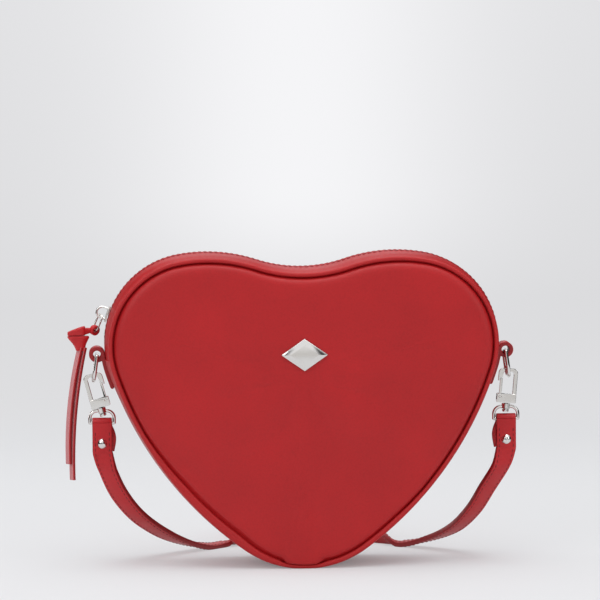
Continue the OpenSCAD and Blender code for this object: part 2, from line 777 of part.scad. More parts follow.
strap_route = concat(
    smooth(concat(left_leg_route, [left_turns[0]]), leg_steps),
    left_turns,
    smooth(concat(bight_route, [right_turns[0]]), 2),
    right_turns,
    smooth(concat([right_turns[len(right_turns) - 1]], right_leg_route), leg_steps),
    [right_leg_route[len(right_leg_route) - 1]]);
strap_length = path_length(strap_route);
function path_length(r) = sum([for (i = [1:len(r) - 1]) norm(r[i][0] - r[i - 1][0])]);
function sum(v, i = 0) = i < len(v) ? v[i] + sum(v, i + 1) : 0;
// Least gap of the strap to itself: route points against route segments further along it
gap_skip = 8;
function to_segment(p, a, b) =
    let (d = b - a, t = max(0, min(1, (p - a) * d / (d * d))))
    norm(p - a - t * d);
strap_gap = min([for (i = [0:len(strap_route) - gap_skip - 1], j = [i + gap_skip:len(strap_route) - 2])
    to_segment(strap_route[i][0], strap_route[j][0], strap_route[j + 1][0])]) - strap_t;

// Band of rectangle sections along a route
module band(route, w, t) {
    n = len(route);
    points = [for (i = [0:n - 1])
        let (
            along = unit(route[min(n - 1, i + 1)][0] - route[max(0, i - 1)][0]),
            raw = route[i][1],
            across = unit(raw - (raw * along) * along),
            up = cross(along, across))
        for (c = [[-1, -1], [1, -1], [1, 1], [-1, 1]])
            route[i][0] + across * c[0] * w / 2 + up * c[1] * t / 2];
    sides = [for (i = [0:n - 2], k = [0:3])
        [4 * i + k, 4 * i + (k + 1) % 4, 4 * i + 4 + (k + 1) % 4, 4 * i + 4 + k]];
    split = [for (q = sides, f = [[q[0], q[2], q[1]], [q[0], q[3], q[2]]]) f];
    caps = [[0, 1, 2, 3], [4 * n - 1, 4 * n - 2, 4 * n - 3, 4 * n - 4]];
    polyhedron(points, concat(split, caps));
}
screw_head_h = 1.5;
screw_nut_h = 0.9;
nut_share = 0.9;
screw_nut_d = nut_share * screw_head_d;
module screw(lean) {
    e = eye_at(lean);
    translate([e[0], 0, e[1] - screw_drop]) {
        translate([0, back_y + screw_nut_h, 0])
            rotate([90, 0, 0])
                cylinder(d = screw_post_d, h = back_y - front_y + screw_nut_h, $fn = fine_fn);
        translate([0, front_y, 0])
            rotate([90, 0, 0])
                rotate_extrude($fn = fine_fn)
                    dome(screw_head_d / 2, screw_head_h);
    }
}
module screw_nut(lean) {
    e = eye_at(lean);
    translate([e[0], back_y + screw_nut_h, e[1] - screw_drop])
        rotate([90, 0, 0])
            difference() {
                cylinder(d = screw_nut_d, h = screw_nut_h, $fn = fine_fn);
                translate([0, 0, -overrun])
                    cylinder(d = screw_post_d, h = screw_nut_h + 2 * overrun, $fn = fine_fn);
            }
}
// Half section of a low dome
module dome(r, h) {
    ball = (r * r + h * h) / (2 * h);
    intersection() {
        translate([0, h - ball]) circle(r = ball, $fn = fine_fn * 2);
        square([r, h]);
    }
}

// Ornament: a bevelled lozenge on two pins
pin_half = ornament_w / 4;
ornament_y = seam_y + roll_h + front_swell;
washer_t = 0.5;
pin_back = ornament_y + seam_gap - board_y + washer_t;
base_share = 0.4;
face_share = 0.6;
washer_share = 3;
module lozenge() {
    polygon([[-ornament_w / 2, 0], [0, -ornament_h / 2], [ornament_w / 2, 0], [0, ornament_h / 2]]);
}
module ornament_plate() {
    translate([0, -ornament_y - seam_gap, ornament_z])
        rotate([90, 0, 0]) {
            linear_extrude(height = ornament_t * base_share) lozenge();
            translate([0, 0, ornament_t * base_share])
                linear_extrude(height = ornament_t * (1 - base_share), scale = face_share) lozenge();
            for (s = [-1, 1])
                translate([s * pin_half, 0, -pin_back])
                    cylinder(d = ornament_pin_d, h = pin_back + overrun / 2, $fn = fine_fn);
        }
}
module pin_holes(d) {
    for (s = [-1, 1])
        translate([s * pin_half, 0, ornament_z])
            rotate([90, 0, 0])
                cylinder(d = d, h = bag_d, $fn = fine_fn);
}

module front_panel() {
    color("firebrick")
        difference() {
            panel(front_swell);
            pin_holes(ornament_pin_d);
        }
}
module back_panel() {
    color("firebrick") to_back() panel(back_swell);
}
module front_piping() {
    color("firebrick") piping();
}
module back_piping() {
    color("firebrick") to_back() piping();
}
module gusset() {
    color("firebrick")
        sweep(gusset_track(zip_end - seam_turn),
            dome_strip(-dome_half, dome_half, 0, leather_t, 8));
}
module gusset_lining() {
    color("tan")
        sweep(gusset_track(zip_end - seam_turn),
            dome_strip(-lining_y, lining_y, leather_t + run_gap, lining_t, 4));
}
module front_facing() {
    color("firebrick") facing();
}
module back_facing() {
    color("firebrick") to_back() facing();
}
module front_zip_tape() {
    color("maroon") tape();
}
module back_zip_tape() {
    color("maroon") to_back() tape();
}
module front_zip_coil() {
    color("maroon") coil_row();
}
module back_zip_coil() {
    color("maroon") to_back() coil_row();
}
module zip_stops() {
    color("silver") {
        zip_stop();
        to_left() zip_stop();
    }
}
module front_board() {
    color("burlywood")
        difference() {
            flat_heart(board_inset, board_y, board_t);
            pin_holes(ornament_pin_d);
        }
}
module back_board() {
    color("burlywood") to_back() flat_heart(board_inset, board_y, board_t);
}
module front_padding() {
    color("gainsboro")
        difference() {
            padding(front_swell);
            pin_holes(ornament_pin_d);
        }
}
module back_padding() {
    color("gainsboro") to_back() padding(back_swell);
}
module front_lining() {
    color("tan") flat_heart(board_inset, lining_y - washer_t, lining_t);
}
module back_lining() {
    color("tan") to_back() flat_heart(board_inset, lining_y, lining_t);
}
module inside_pocket() {
    color("tan")
        translate([-pocket_w / 2, lining_y - lining_t, lobe_z - pocket_h / 2])
            cube([pocket_w, lining_t, pocket_h]);
}
module ornament() {
    color("silver") ornament_plate();
}
module ornament_washers() {
    color("silver")
        for (s = [-1, 1])
            translate([s * pin_half, -board_y + washer_t, ornament_z])
                rotate([90, 0, 0])
                    difference() {
                        cylinder(d = washer_share * ornament_pin_d, h = washer_t, $fn = fine_fn);
                        translate([0, 0, -overrun])
                            cylinder(d = ornament_pin_d, h = washer_t + 2 * overrun, $fn = fine_fn);
                    }
}
module left_ring_tab() {
    color("firebrick") to_left() ring_tab();
}
module right_ring_tab() {
    color("firebrick") ring_tab();
}
module zip_slider() {
    color("silver") to_left() slider();
}
module pull_ring() {
    color("silver") to_left() on_pull() pull_loop();
}
module pull_strip() {
    color("firebrick")
        to_left() {
            pull_knot();
            tail(pull_l, 0, -tail_t - run_gap / 2);
            tail(pull_l * back_tail_share, -back_tail_shift, run_gap / 2);
        }
}
module left_d_ring() {
    color("silver") to_left() d_ring();
}
module right_d_ring() {
    color("silver") d_ring();
}
module left_swivel_eye() {
    color("silver") to_left() eye(left_lean);
}
module right_swivel_eye() {
    color("silver") eye(right_lean);
}
module left_hook() {
    color("silver") to_left() on_hook(left_lean) hook();
}
module right_hook() {
    color("silver") on_hook(right_lean) hook();
}
module left_gate() {
    color("gainsboro") to_left() on_hook(left_lean) gate();
}
module right_gate() {
    color("gainsboro") on_hook(right_lean) gate();
}
module left_gate_pin() {
    color("silver") to_left() on_hook(left_lean) gate_pin();
}
module right_gate_pin() {
    color("silver") on_hook(right_lean) gate_pin();
}
module left_gate_spring() {
    color("gray") to_left() on_hook(left_lean) gate_spring();
}
module right_gate_spring() {
    color("gray") on_hook(right_lean) gate_spring();
}
module strap() {
    color("brown") {
        band(strap_route, strap_w, strap_t);
        to_left() strap_end(left_lean);
        strap_end(right_lean);
    }
}
module strap_screws() {
    color("silver") {
        to_left() screw(left_lean);
        screw(right_lean);
    }
}
module strap_screw_nuts() {
    color("silver") {
        to_left() screw_nut(left_lean);
        screw_nut(right_lean);
    }
}

echo(strap_length = strap_length, strap_gap = strap_gap, eye_left = left_eye, eye_right = right_eye, hang = hang_c,
    bar = bar_c, pull = pull_pivot, lobe = lobe_c, dip = dip_c, side = side_c);

front_panel();
back_panel();
front_piping();
back_piping();
gusset();
gusset_lining();
front_facing();
back_facing();
front_zip_tape();
back_zip_tape();
front_zip_coil();
back_zip_coil();
zip_stops();
front_board();
back_board();
front_padding();
back_padding();
front_lining();
back_lining();
inside_pocket();
ornament();
ornament_washers();
left_ring_tab();
right_ring_tab();
zip_slider();
pull_ring();
pull_strip();
left_d_ring();
right_d_ring();
left_swivel_eye();
right_swivel_eye();
left_hook();
right_hook();
left_gate();
right_gate();
left_gate_pin();
right_gate_pin();
left_gate_spring();
right_gate_spring();
strap();
strap_screws();
strap_screw_nuts();
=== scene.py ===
"""Leather, zip, lining and metalwork of a heart shaped zip bag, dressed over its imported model.

Lengths in the code are millimetres in the bag's own frame: X to the right in the front view, Y to the
back, Z up from the floor. The mesh builders turn them to metres.
"""
import math

import bmesh
import bpy
import numpy as np
from mathutils import Matrix, Vector, noise


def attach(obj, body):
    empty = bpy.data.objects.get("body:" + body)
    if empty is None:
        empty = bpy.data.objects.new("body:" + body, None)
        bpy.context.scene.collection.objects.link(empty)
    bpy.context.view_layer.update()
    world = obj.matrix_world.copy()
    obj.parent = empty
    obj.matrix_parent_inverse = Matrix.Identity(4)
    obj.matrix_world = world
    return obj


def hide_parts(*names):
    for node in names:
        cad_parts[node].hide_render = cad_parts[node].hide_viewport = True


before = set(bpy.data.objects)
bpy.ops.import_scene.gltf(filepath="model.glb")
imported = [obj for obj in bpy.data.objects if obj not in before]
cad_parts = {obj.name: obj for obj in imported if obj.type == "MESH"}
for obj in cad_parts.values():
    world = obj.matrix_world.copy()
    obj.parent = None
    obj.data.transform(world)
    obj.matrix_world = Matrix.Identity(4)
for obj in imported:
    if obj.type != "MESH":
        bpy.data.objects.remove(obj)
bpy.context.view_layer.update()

bl_info = {
    "name": "Heart Bag Dresser",
    "version": (1, 0, 0),
    "blender": (4, 5, 0),
    "location": "View3D > Sidebar > Heart Bag",
    "description": "Dresses a heart shaped zip bag with leather, zip, lining, strap and metalwork",
    "category": "Object",
}

MM = 0.001
FRONT, BACK = 1, -1

# The bag's measures, as in its model
# Outline: five tangent arcs a side, each centre, radius, first and last direction in degrees, and sign.
SIDE_END = -18.206
ARCS = (
    ((0.0, 57.75), 60.0, -90.0, -53.898, 1),
    ((-82.4905, 170.866), 200.0, -53.898, SIDE_END, 1),
    ((60.0, 124.0), 50.0, SIDE_END, 80.0, 1),
    ((53.0541, 84.6077), 90.0, 80.0, 108.409, 1),
    ((0.0, 244.011), 78.0, 108.409, 90.0, -1),
)
# Numbers of the arcs that are called by name
SIDE, LOBE, DIP = 1, 2, 4
HEART_MIDDLE = (0.0, 105.0)
# Places nearer than this to a strip's end are left out, in degrees
NEAR_END = 0.2
SEAM_Y = 27.5
LEATHER_T = 1.5
GROOVE = 4.7
DEEP = 42.7
ROLL_H, ROLL_RUN = 3.0, 5.0
WALL = 5.35
SWELL = {FRONT: 1.8, BACK: 0.8}
PIPING_U, PIPING_D = -3.2, 2.6
DOME_HALF, DOME_DROP = 26.1, 3.2
ZIP_END, GUSSET_END, TEETH_END = 3.0, 2.7, 7.2
FACING_IN, SEWN_AT = 2.9, 5.2
TAPE_IN, TAPE_OUT, TAPE_T, TEETH_Y = 0.5, 9.0, 0.5, 1.32
LINING_Y, LINING_T, BOARD_INSET = 24.2, 0.6, 6.5
POCKET_W, POCKET_H, POCKET_Z = 110.0, 70.0, 124.0
ORNAMENT_Z, ORNAMENT_HOLD, WASHER_T = 119.0, 16, 0.5
TAB_W, TAB_T, TAB_R, TAB_HOLE = 11.0, 2.2, 4.4, 2.2
TAB_AT, TAB_TAIL_END = -6.0, -20.588
STRAP_W, STRAP_T, STRAP_END_T, STRAP_END_Y = 11.0, 2.8, 1.4, -1.55
FOLD_R, COIL_PITCH = 2.25, 7.6
EYES = {-1: (-111.642, 79.6942), 1: (114.612, 79.1706)}
KNOT_PIVOT = (115.231, 131.623)
KNOT_C, TAIL_C = (124.431, 127.623), (123.031, 121.023)
PULL_W, PULL_T, PULL_L = 4.3, 1.5, 64.0
SLIDER_AT, BAIL_U, PULL_DIP, PULL_TWIST, PULL_END = 19.0, 3.95, 4.0, 40.0, 10.8


# Small common tools
def linear(code):
    """Linear colour of an sRGB hex code."""
    parts = (int(code[i:i + 2], 16) / 255 for i in (1, 3, 5))
    return tuple(c / 12.92 if c <= 0.04045 else ((c + 0.055) / 1.055) ** 2.4 for c in parts) + (1.0,)


def add(tree, kind, inputs=None, **settings):
    """Adds a node and returns its outputs; inputs are values or other nodes' outputs, by name or number."""
    made = tree.nodes.new(kind)
    for key, value in settings.items():
        setattr(made, key, value)
    for key, value in (inputs or {}).items():
        if isinstance(value, bpy.types.NodeSocket):
            tree.links.new(value, made.inputs[key])
        else:
            made.inputs[key].default_value = value
    return made.outputs


def ease(t):
    """Smooth step from 0 to 1."""
    t = min(1.0, max(0.0, t))
    return t * t * (3 - 2 * t)


def mix(a, b, t):
    return a + (b - a) * t


def round_turns(n):
    """Angles of n even steps once round."""
    return np.linspace(0, 2 * math.pi, n, endpoint=False)


def from_ornament(p):
    """Distance of a point from the ornament's middle line."""
    return math.hypot(p.x, p.z - ORNAMENT_Z)


# Places on the outline
def half_track(step):
    """Places up the right half, each arc, direction and side, from the tip to the dip."""
    places = []
    for k, (_, radius, first, last, _) in enumerate(ARCS):
        count = max(2, round(radius * math.radians(abs(last - first)) / step))
        places += [(k, mix(first, last, i / count), 1) for i in range(count)]
    return places + [(DIP, 90.0, 1)]


def opposite(places):
    return [(k, phi, -1) for k, phi, _ in reversed(places)]


def whole_track(step):
    right = half_track(step)
    return right + opposite(right)[1:-1]


def zip_track(phi, step):
    """Places from phi on the right lobe over the top to the same place on the left."""
    right = [p for p in half_track(step) if p[0] > LOBE or p[0] == LOBE and p[1] > phi + NEAR_END]
    right.insert(0, (LOBE, phi, 1))
    return right + opposite(right)[1:]


def gusset_track(phi, step, extra=()):
    """Places from the left lobe under the tip to the right lobe."""
    right = [p for p in half_track(step) if p[0] < LOBE or p[0] == LOBE and p[1] < phi - NEAR_END]
    right += [(LOBE, phi, 1)] + [(LOBE, e, 1) for e in extra]
    right.sort(key=lambda p: (p[0], p[1]))
    return opposite(right)[:-1] + right


def on_outline(place, u):
    """X and Z of a place moved out by u."""
    k, phi, side = place
    (cx, cz), radius, _, _, sign = ARCS[k]
    reach = sign * (radius + sign * u)
    return side * (cx + reach * math.cos(math.radians(phi))), cz + reach * math.sin(math.radians(phi))


def spot(place, u, y, low=0.0):
    """Point u outside the crest and y in front of the middle plane, no lower than low."""
    x, z = on_outline(place, u)
    return Vector((x, -y, max(z, low)))


def dome(y):
    """How far the gusset's crest line falls towards its edges."""
    return -DOME_DROP * (y / DOME_HALF) ** 2


# Mesh builders
def new_object(name, mesh):
    made = bpy.data.objects.new(name, mesh)
    bpy.context.scene.collection.objects.link(made)
    return made


def run_lengths(points):
    """Lengths along the closed line through points, up to each of them and back to the first."""
    steps = [(b - a).length for a, b in zip(points, points[1:] + points[:1])]
    return np.concatenate([[0.0], np.cumsum(steps)])


def loft(name, rings, loop=False, closed=True, edge_faces=()):
    """Skin over rings of points, with a UV map in metres; strips numbered in edge_faces get slot 1."""
    n, m = len(rings[0]), len(rings)
    faces, uvs, slots = [], [], []
    along = run_lengths([sum(ring, Vector()) / n for ring in rings])
    across = run_lengths(rings[0])
    for k in range(m if loop else m - 1):
        j = (k + 1) % m
        for i in range(n if closed else n - 1):
            h = (i + 1) % n
            faces.append((k * n + i, k * n + h, j * n + h, j * n + i))
            uvs += [(along[k], across[i]), (along[k], across[i + 1]),
                    (along[k + 1], across[i + 1]), (along[k + 1], across[i])]
            slots.append(1 if i in edge_faces else 0)
    if closed and not loop:
        for k in (0, m - 1):
            faces.append(tuple(k * n + i for i in range(n)))
            uvs += [(along[k], across[i]) for i in range(n)]
            slots.append(1 if edge_faces else 0)
    mesh = bpy.data.meshes.new(name)
    mesh.from_pydata([p * MM for ring in rings for p in ring], [], faces)
    layer = mesh.uv_layers.new(name="UVMap")
    layer.data.foreach_set("uv", np.array(uvs).ravel() * MM)
    mesh.polygons.foreach_set("material_index", slots)
    outward(mesh)
    mesh.shade_smooth()
    return new_object(name, mesh)


def facing(rings, side):
    """Rings of a front piece, turned over for the back."""
    return rings if side == FRONT else [[Vector((p.x, -p.y, p.z)) for p in ring] for ring in rings]


def outward(mesh):
    """Turns every closed part of a mesh right side out."""
    work = bmesh.new()
    work.from_mesh(mesh)
    bmesh.ops.recalc_face_normals(work, faces=work.faces)
    work.to_mesh(mesh)
    work.free()


def sharpen(piece, degrees=40):
    """Keeps folds sharper than an angle as hard edges of a smooth piece."""
    piece.data.set_sharp_from_angle(angle=math.radians(degrees))
    return piece


def join(name, parts):
    """Makes one piece of several, with their materials and UV maps kept."""
    with bpy.context.temp_override(active_object=parts[0], selected_editable_objects=parts, object=parts[0]):
        bpy.ops.object.join()
    parts[0].name = parts[0].data.name = name
    return parts[0]


def dress(piece, *finishes):
    """Gives a new piece its materials, in the order of its slots."""
    for finish in finishes:
        piece.data.materials.append(finish)
    return piece


def settle(piece, body, nodes=()):
    """Puts a finished piece on its body and in place of its CAD nodes."""
    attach(piece, body)
    if nodes:
        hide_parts(*nodes)
    return piece


def block_section(width, thick, radius, steps=3):
    """Rounded rectangle about the origin, counterclockwise from the right side."""
    radius = min(radius, thick / 2 - 0.02, width / 2 - 0.02)
    out = []
    for qx, qy, first in ((1, 1, 0), (-1, 1, 90), (-1, -1, 180), (1, -1, 270)):
        for i in range(steps + 1):
            turn = math.radians(first + 90 * i / steps)
            out.append((qx * (width / 2 - radius) + radius * math.cos(turn),
                        qy * (thick / 2 - radius) + radius * math.sin(turn)))
    return out


# Patterns by Geometry Nodes
def row_tree(name):
    """Tree that sets a small rounded shape at even steps along every line of its input."""
    tree = bpy.data.node_groups.new(name, "GeometryNodeTree")
    sockets = (("Line", "Geometry", None), ("Pitch", "Float", "DISTANCE"), ("Length", "Float", "DISTANCE"),
               ("Width", "Float", "DISTANCE"), ("Height", "Float", "DISTANCE"), ("Lean", "Float", "ANGLE"),
               ("Seed", "Int", None), ("Finish", "Material", None))
    for label, kind, unit in sockets:
        made = tree.interface.new_socket(name=label, in_out="INPUT", socket_type="NodeSocket" + kind)
        if unit:
            made.subtype = unit
    tree.interface.new_socket(name="Row", in_out="OUTPUT", socket_type="NodeSocketGeometry")
    given = add(tree, "NodeGroupInput")
    curve = add(tree, "GeometryNodeMeshToCurve", {0: given["Line"]})
    steps = {"Curve": curve[0], "Length": given["Pitch"]}
    even = add(tree, "GeometryNodeResampleCurve", steps, mode="LENGTH")
    along = add(tree, "FunctionNodeAlignRotationToVector",
                {"Vector": add(tree, "GeometryNodeInputTangent")[0]}, axis="Z")
    upright = add(tree, "FunctionNodeAlignRotationToVector",
                  {"Rotation": along[0], "Vector": (0.0, 1.0, 0.0)}, axis="Y", pivot_axis="Z")
    back = add(tree, "ShaderNodeMath", {0: given["Lean"], 1: -1.0}, operation="MULTIPLY")
    spread = add(tree, "FunctionNodeRandomValue",
                 {2: back[0], 3: given["Lean"], "Seed": given["Seed"]}, data_type="FLOAT")
    turn = add(tree, "ShaderNodeCombineXYZ", {"X": spread[1]})
    leaning = add(tree, "FunctionNodeRotateRotation",
                  {"Rotation": upright[0], "Rotate By": turn[0]}, rotation_space="LOCAL")
    bead = add(tree, "GeometryNodeMeshUVSphere", {"Segments": 8, "Rings": 5, "Radius": 0.5})
    size = add(tree, "ShaderNodeCombineXYZ",
               {"X": given["Height"], "Y": given["Width"], "Z": given["Length"]})
    rows = add(tree, "GeometryNodeInstanceOnPoints",
               {"Points": even[0], "Instance": bead[0], "Rotation": leaning[0], "Scale": size[0]})
    real = add(tree, "GeometryNodeRealizeInstances", {0: rows[0]})
    soft = add(tree, "GeometryNodeSetShadeSmooth", {0: real[0]})
    finish = add(tree, "GeometryNodeSetMaterial", {0: soft[0], "Material": given["Finish"]})
    add(tree, "NodeGroupOutput", {0: finish[0]})
    return tree


def beads(name, lines, finish, **sizes):
    """Plain mesh of one row tree over lines of points; sizes are its named inputs."""
    mesh = bpy.data.meshes.new(name + "_lines")
    points = [p * MM for line in lines for p in line]
    edges, start = [], 0
    for line in lines:
        edges += [(start + i, start + i + 1) for i in range(len(line) - 1)]
        start += len(line)
    mesh.from_pydata(points, edges, [])
    carrier = new_object(name + "_lines", mesh)
    tree = bpy.data.node_groups.get("Rounded row") or row_tree("Rounded row")
    rows = carrier.modifiers.new("Rows", "NODES")
    rows.node_group = tree
    keys = {item.name: item.identifier for item in tree.interface.items_tree if item.in_out == "INPUT"}
    for label, value in {**sizes, "Finish": finish}.items():
        rows[keys[label]] = value
    done = bpy.data.meshes.new_from_object(carrier.evaluated_get(bpy.context.evaluated_depsgraph_get()))
    bpy.data.objects.remove(carrier)
    bpy.data.meshes.remove(mesh)
    done.name = name
    return new_object(name, done)


def stitches(name, lines, kit, sizes, seed):
    """Stitches of bonded thread along lines."""
    thread = sizes.thread * MM
    return beads(name, lines, kit["Bonded thread"], Pitch=sizes.stitch_pitch * MM, Length=sizes.stitch * MM,
                 Width=thread, Height=thread, Lean=math.radians(3), Seed=seed)


# Materials
def shade(colour, gain, lift=0.0):
    """Colour made darker or lighter."""
    return [min(1.0, c * gain + lift) for c in colour[:3]] + [1.0]


def empty_tree(owner):
    """Emptied node tree of a new material or world."""
    owner.use_nodes = True
    owner.node_tree.nodes.clear()
    return owner.node_tree


def new_finish(name, recipe, *given):
    """Material of a name, from a recipe that lays its nodes and returns the surface."""
    made = bpy.data.materials.new(name)
    tree = empty_tree(made)
    add(tree, "ShaderNodeOutputMaterial", {"Surface": recipe(tree, *given)[0]})
    return made


def calf(tree, colour, grain, roughness, wear_and_highlight):
    """Drum dyed calf, pressed with a fine even grain and lightly waxed.

    The eye sees an even red with a broad soft sheen, faint clouds of tone, and slightly paler ridges where
    the leather is turned over an edge: a painted highlight there, which also stands for edge wear. The real
    grain is 0.3 mm, too fine to show at this size, so its cells are drawn coarser.
    """
    where, cell = add(tree, "ShaderNodeTexCoord")["Object"], 1 / (grain * MM)
    # Clouds of tone are about 36 mm across, and pores twice as wide as a grain cell
    cloud = add(tree, "ShaderNodeTexNoise", {"Vector": where, "Scale": 28.0, "Detail": 3.0})
    cells = add(tree, "ShaderNodeTexVoronoi", {"Vector": where, "Scale": cell}, feature="SMOOTH_F1")
    pores = add(tree, "ShaderNodeTexNoise", {"Vector": where, "Scale": 0.5 * cell, "Detail": 4.0})
    tone = add(tree, "ShaderNodeValToRGB", {"Fac": cloud["Fac"]})
    dark, pale = tone[0].node.color_ramp.elements
    dark.position, dark.color = 0.3, shade(colour, 0.93)
    pale.position, pale.color = 0.7, shade(colour, 1.06)
    valley = add(tree, "ShaderNodeMapRange",
                 {"Value": cells["Distance"], "From Min": 0.25, "From Max": 0.75,
                  "To Min": 1.0, "To Max": 0.9})
    grained = add(tree, "ShaderNodeMix", {0: 1.0, 6: tone[0], 7: valley[0]}, data_type="RGBA",
                  blend_type="MULTIPLY")
    # Convex edges are paled: a painted highlight, which also stands for edge wear
    bent = add(tree, "ShaderNodeNewGeometry")["Pointiness"]
    ridge = add(tree, "ShaderNodeMapRange",
                {"Value": bent, "From Min": 0.51, "From Max": 0.62, "To Min": 0.0, "To Max": wear_and_highlight})
    worn_and_highlit = add(tree, "ShaderNodeMix", {0: ridge[0], 6: grained[2], 7: shade(colour, 1.35, 0.02)},
                 data_type="RGBA")
    sheen = add(tree, "ShaderNodeMapRange",
                {"Value": pores["Fac"], "From Min": 0.3, "From Max": 0.7,
                 "To Min": roughness - 0.05, "To Max": roughness + 0.06})
    height = add(tree, "ShaderNodeMath", {0: cells["Distance"], 1: pores["Fac"]}, operation="ADD")
    relief = add(tree, "ShaderNodeBump", {"Strength": 0.16, "Distance": 0.06 * MM, "Height": height[0]},
                 invert=True)
    return add(tree, "ShaderNodeBsdfPrincipled",
               {"Base Color": worn_and_highlit[2], "Roughness": sheen[0], "Normal": relief[0], "IOR": 1.45,
                "Specular IOR Level": 0.42})


def edge_paint(tree, colour):
    """Resin edge paint brushed on in coats and heat set: smooth, darker and glossier, with faint runs."""
    where = add(tree, "ShaderNodeTexCoord")["Object"]
    # The runs are 2.5 mm apart
    runs = add(tree, "ShaderNodeTexNoise", {"Vector": where, "Scale": 400.0, "Detail": 2.0})
    tone = add(tree, "ShaderNodeMix", {0: runs["Fac"], 6: colour, 7: shade(colour, 0.78)}, data_type="RGBA")
    relief = add(tree, "ShaderNodeBump", {"Strength": 0.2, "Distance": 0.08 * MM, "Height": runs["Fac"]})
    return add(tree, "ShaderNodeBsdfPrincipled",
               {"Base Color": tone[2], "Normal": relief[0], "Roughness": 0.36, "IOR": 1.5})


def woven(tree, colour, thread, roughness, sheen):
    """Plain weave of polyester yarn: fine crossing threads with a dull gleam.

    The real threads are about 0.2 mm apart, so they are drawn wider than that to show.
    """
    where = add(tree, "ShaderNodeTexCoord")["UV"]
    # A wave texture of scale 1 has 20 / (2 pi) bands to the metre
    threads = {"Vector": where, "Scale": 2 * math.pi / 20 / (thread * MM), "Distortion": 0.4}
    warp, weft = [add(tree, "ShaderNodeTexWave", threads, bands_direction=way)["Fac"] for way in "XY"]
    cross = add(tree, "ShaderNodeMath", {0: warp, 1: weft}, operation="MULTIPLY")
    # Thicker places in the yarn come about every 11 mm
    slub = add(tree, "ShaderNodeTexNoise", {"Vector": where, "Scale": 90.0, "Detail": 2.0})
    height = add(tree, "ShaderNodeMath", {0: cross[0], 1: slub["Fac"]}, operation="ADD")
    level = add(tree, "ShaderNodeMapRange", {"Value": height[0], "From Max": 1.5})
    tone = add(tree, "ShaderNodeMix", {0: level[0], 6: shade(colour, 0.62), 7: colour}, data_type="RGBA")
    relief = add(tree, "ShaderNodeBump", {"Strength": 0.5, "Distance": 0.12 * MM, "Height": cross[0]})
    return add(tree, "ShaderNodeBsdfPrincipled",
               {"Base Color": tone[2], "Normal": relief[0], "Roughness": roughness, "Sheen Weight": sheen,
                "IOR": 1.5})


def moulded(tree, colour, roughness, grit):
    """Even surface with a fine random relief: extruded nylon, sewing thread, pressed board or wadding."""
    where = add(tree, "ShaderNodeTexCoord")["Object"]
    speck = add(tree, "ShaderNodeTexNoise",
                {"Vector": where, "Scale": 1 / (grit * MM), "Detail": 5.0, "Roughness": 0.65})
    tone = add(tree, "ShaderNodeMix", {0: speck["Fac"], 6: shade(colour, 0.72), 7: shade(colour, 1.12)},
               data_type="RGBA")
    relief = add(tree, "ShaderNodeBump",
                 {"Strength": 0.35, "Distance": grit * 0.12 * MM, "Height": speck["Fac"]})
    return add(tree, "ShaderNodeBsdfPrincipled",
               {"Base Color": tone[2], "Normal": relief[0], "Roughness": roughness, "IOR": 1.5})


def plated(tree, colour, roughness):
    """Zinc casting or drawn wire, tumbled, polished and plated.

    The eye sees clear reflections of the room and the red leather, softened by hair fine tumbling marks.
    """
    where = add(tree, "ShaderNodeTexCoord")["Object"]
    # Tumbling marks are about 0.4 mm wide and drawn out along Z, and the haze is in patches of 6 mm
    drawn = add(tree, "ShaderNodeMapping", {"Vector": where, "Scale": (1.0, 1.0, 0.15)})
    marks = add(tree, "ShaderNodeTexNoise", {"Vector": drawn[0], "Scale": 2600.0, "Detail": 4.0})
    haze = add(tree, "ShaderNodeTexNoise", {"Vector": where, "Scale": 160.0, "Detail": 2.0})
    dull = add(tree, "ShaderNodeMapRange",
               {"Value": haze["Fac"], "From Min": 0.3, "From Max": 0.7,
                "To Min": roughness * 0.7, "To Max": roughness * 1.4})
    tone = add(tree, "ShaderNodeMix", {0: haze["Fac"], 6: colour, 7: shade(colour, 0.93)}, data_type="RGBA")
    relief = add(tree, "ShaderNodeBump", {"Strength": 0.06, "Distance": 0.02 * MM, "Height": marks["Fac"]})
    return add(tree, "ShaderNodeBsdfPrincipled",
               {"Base Color": tone[2], "Roughness": dull[0], "Normal": relief[0], "Metallic": 1.0})


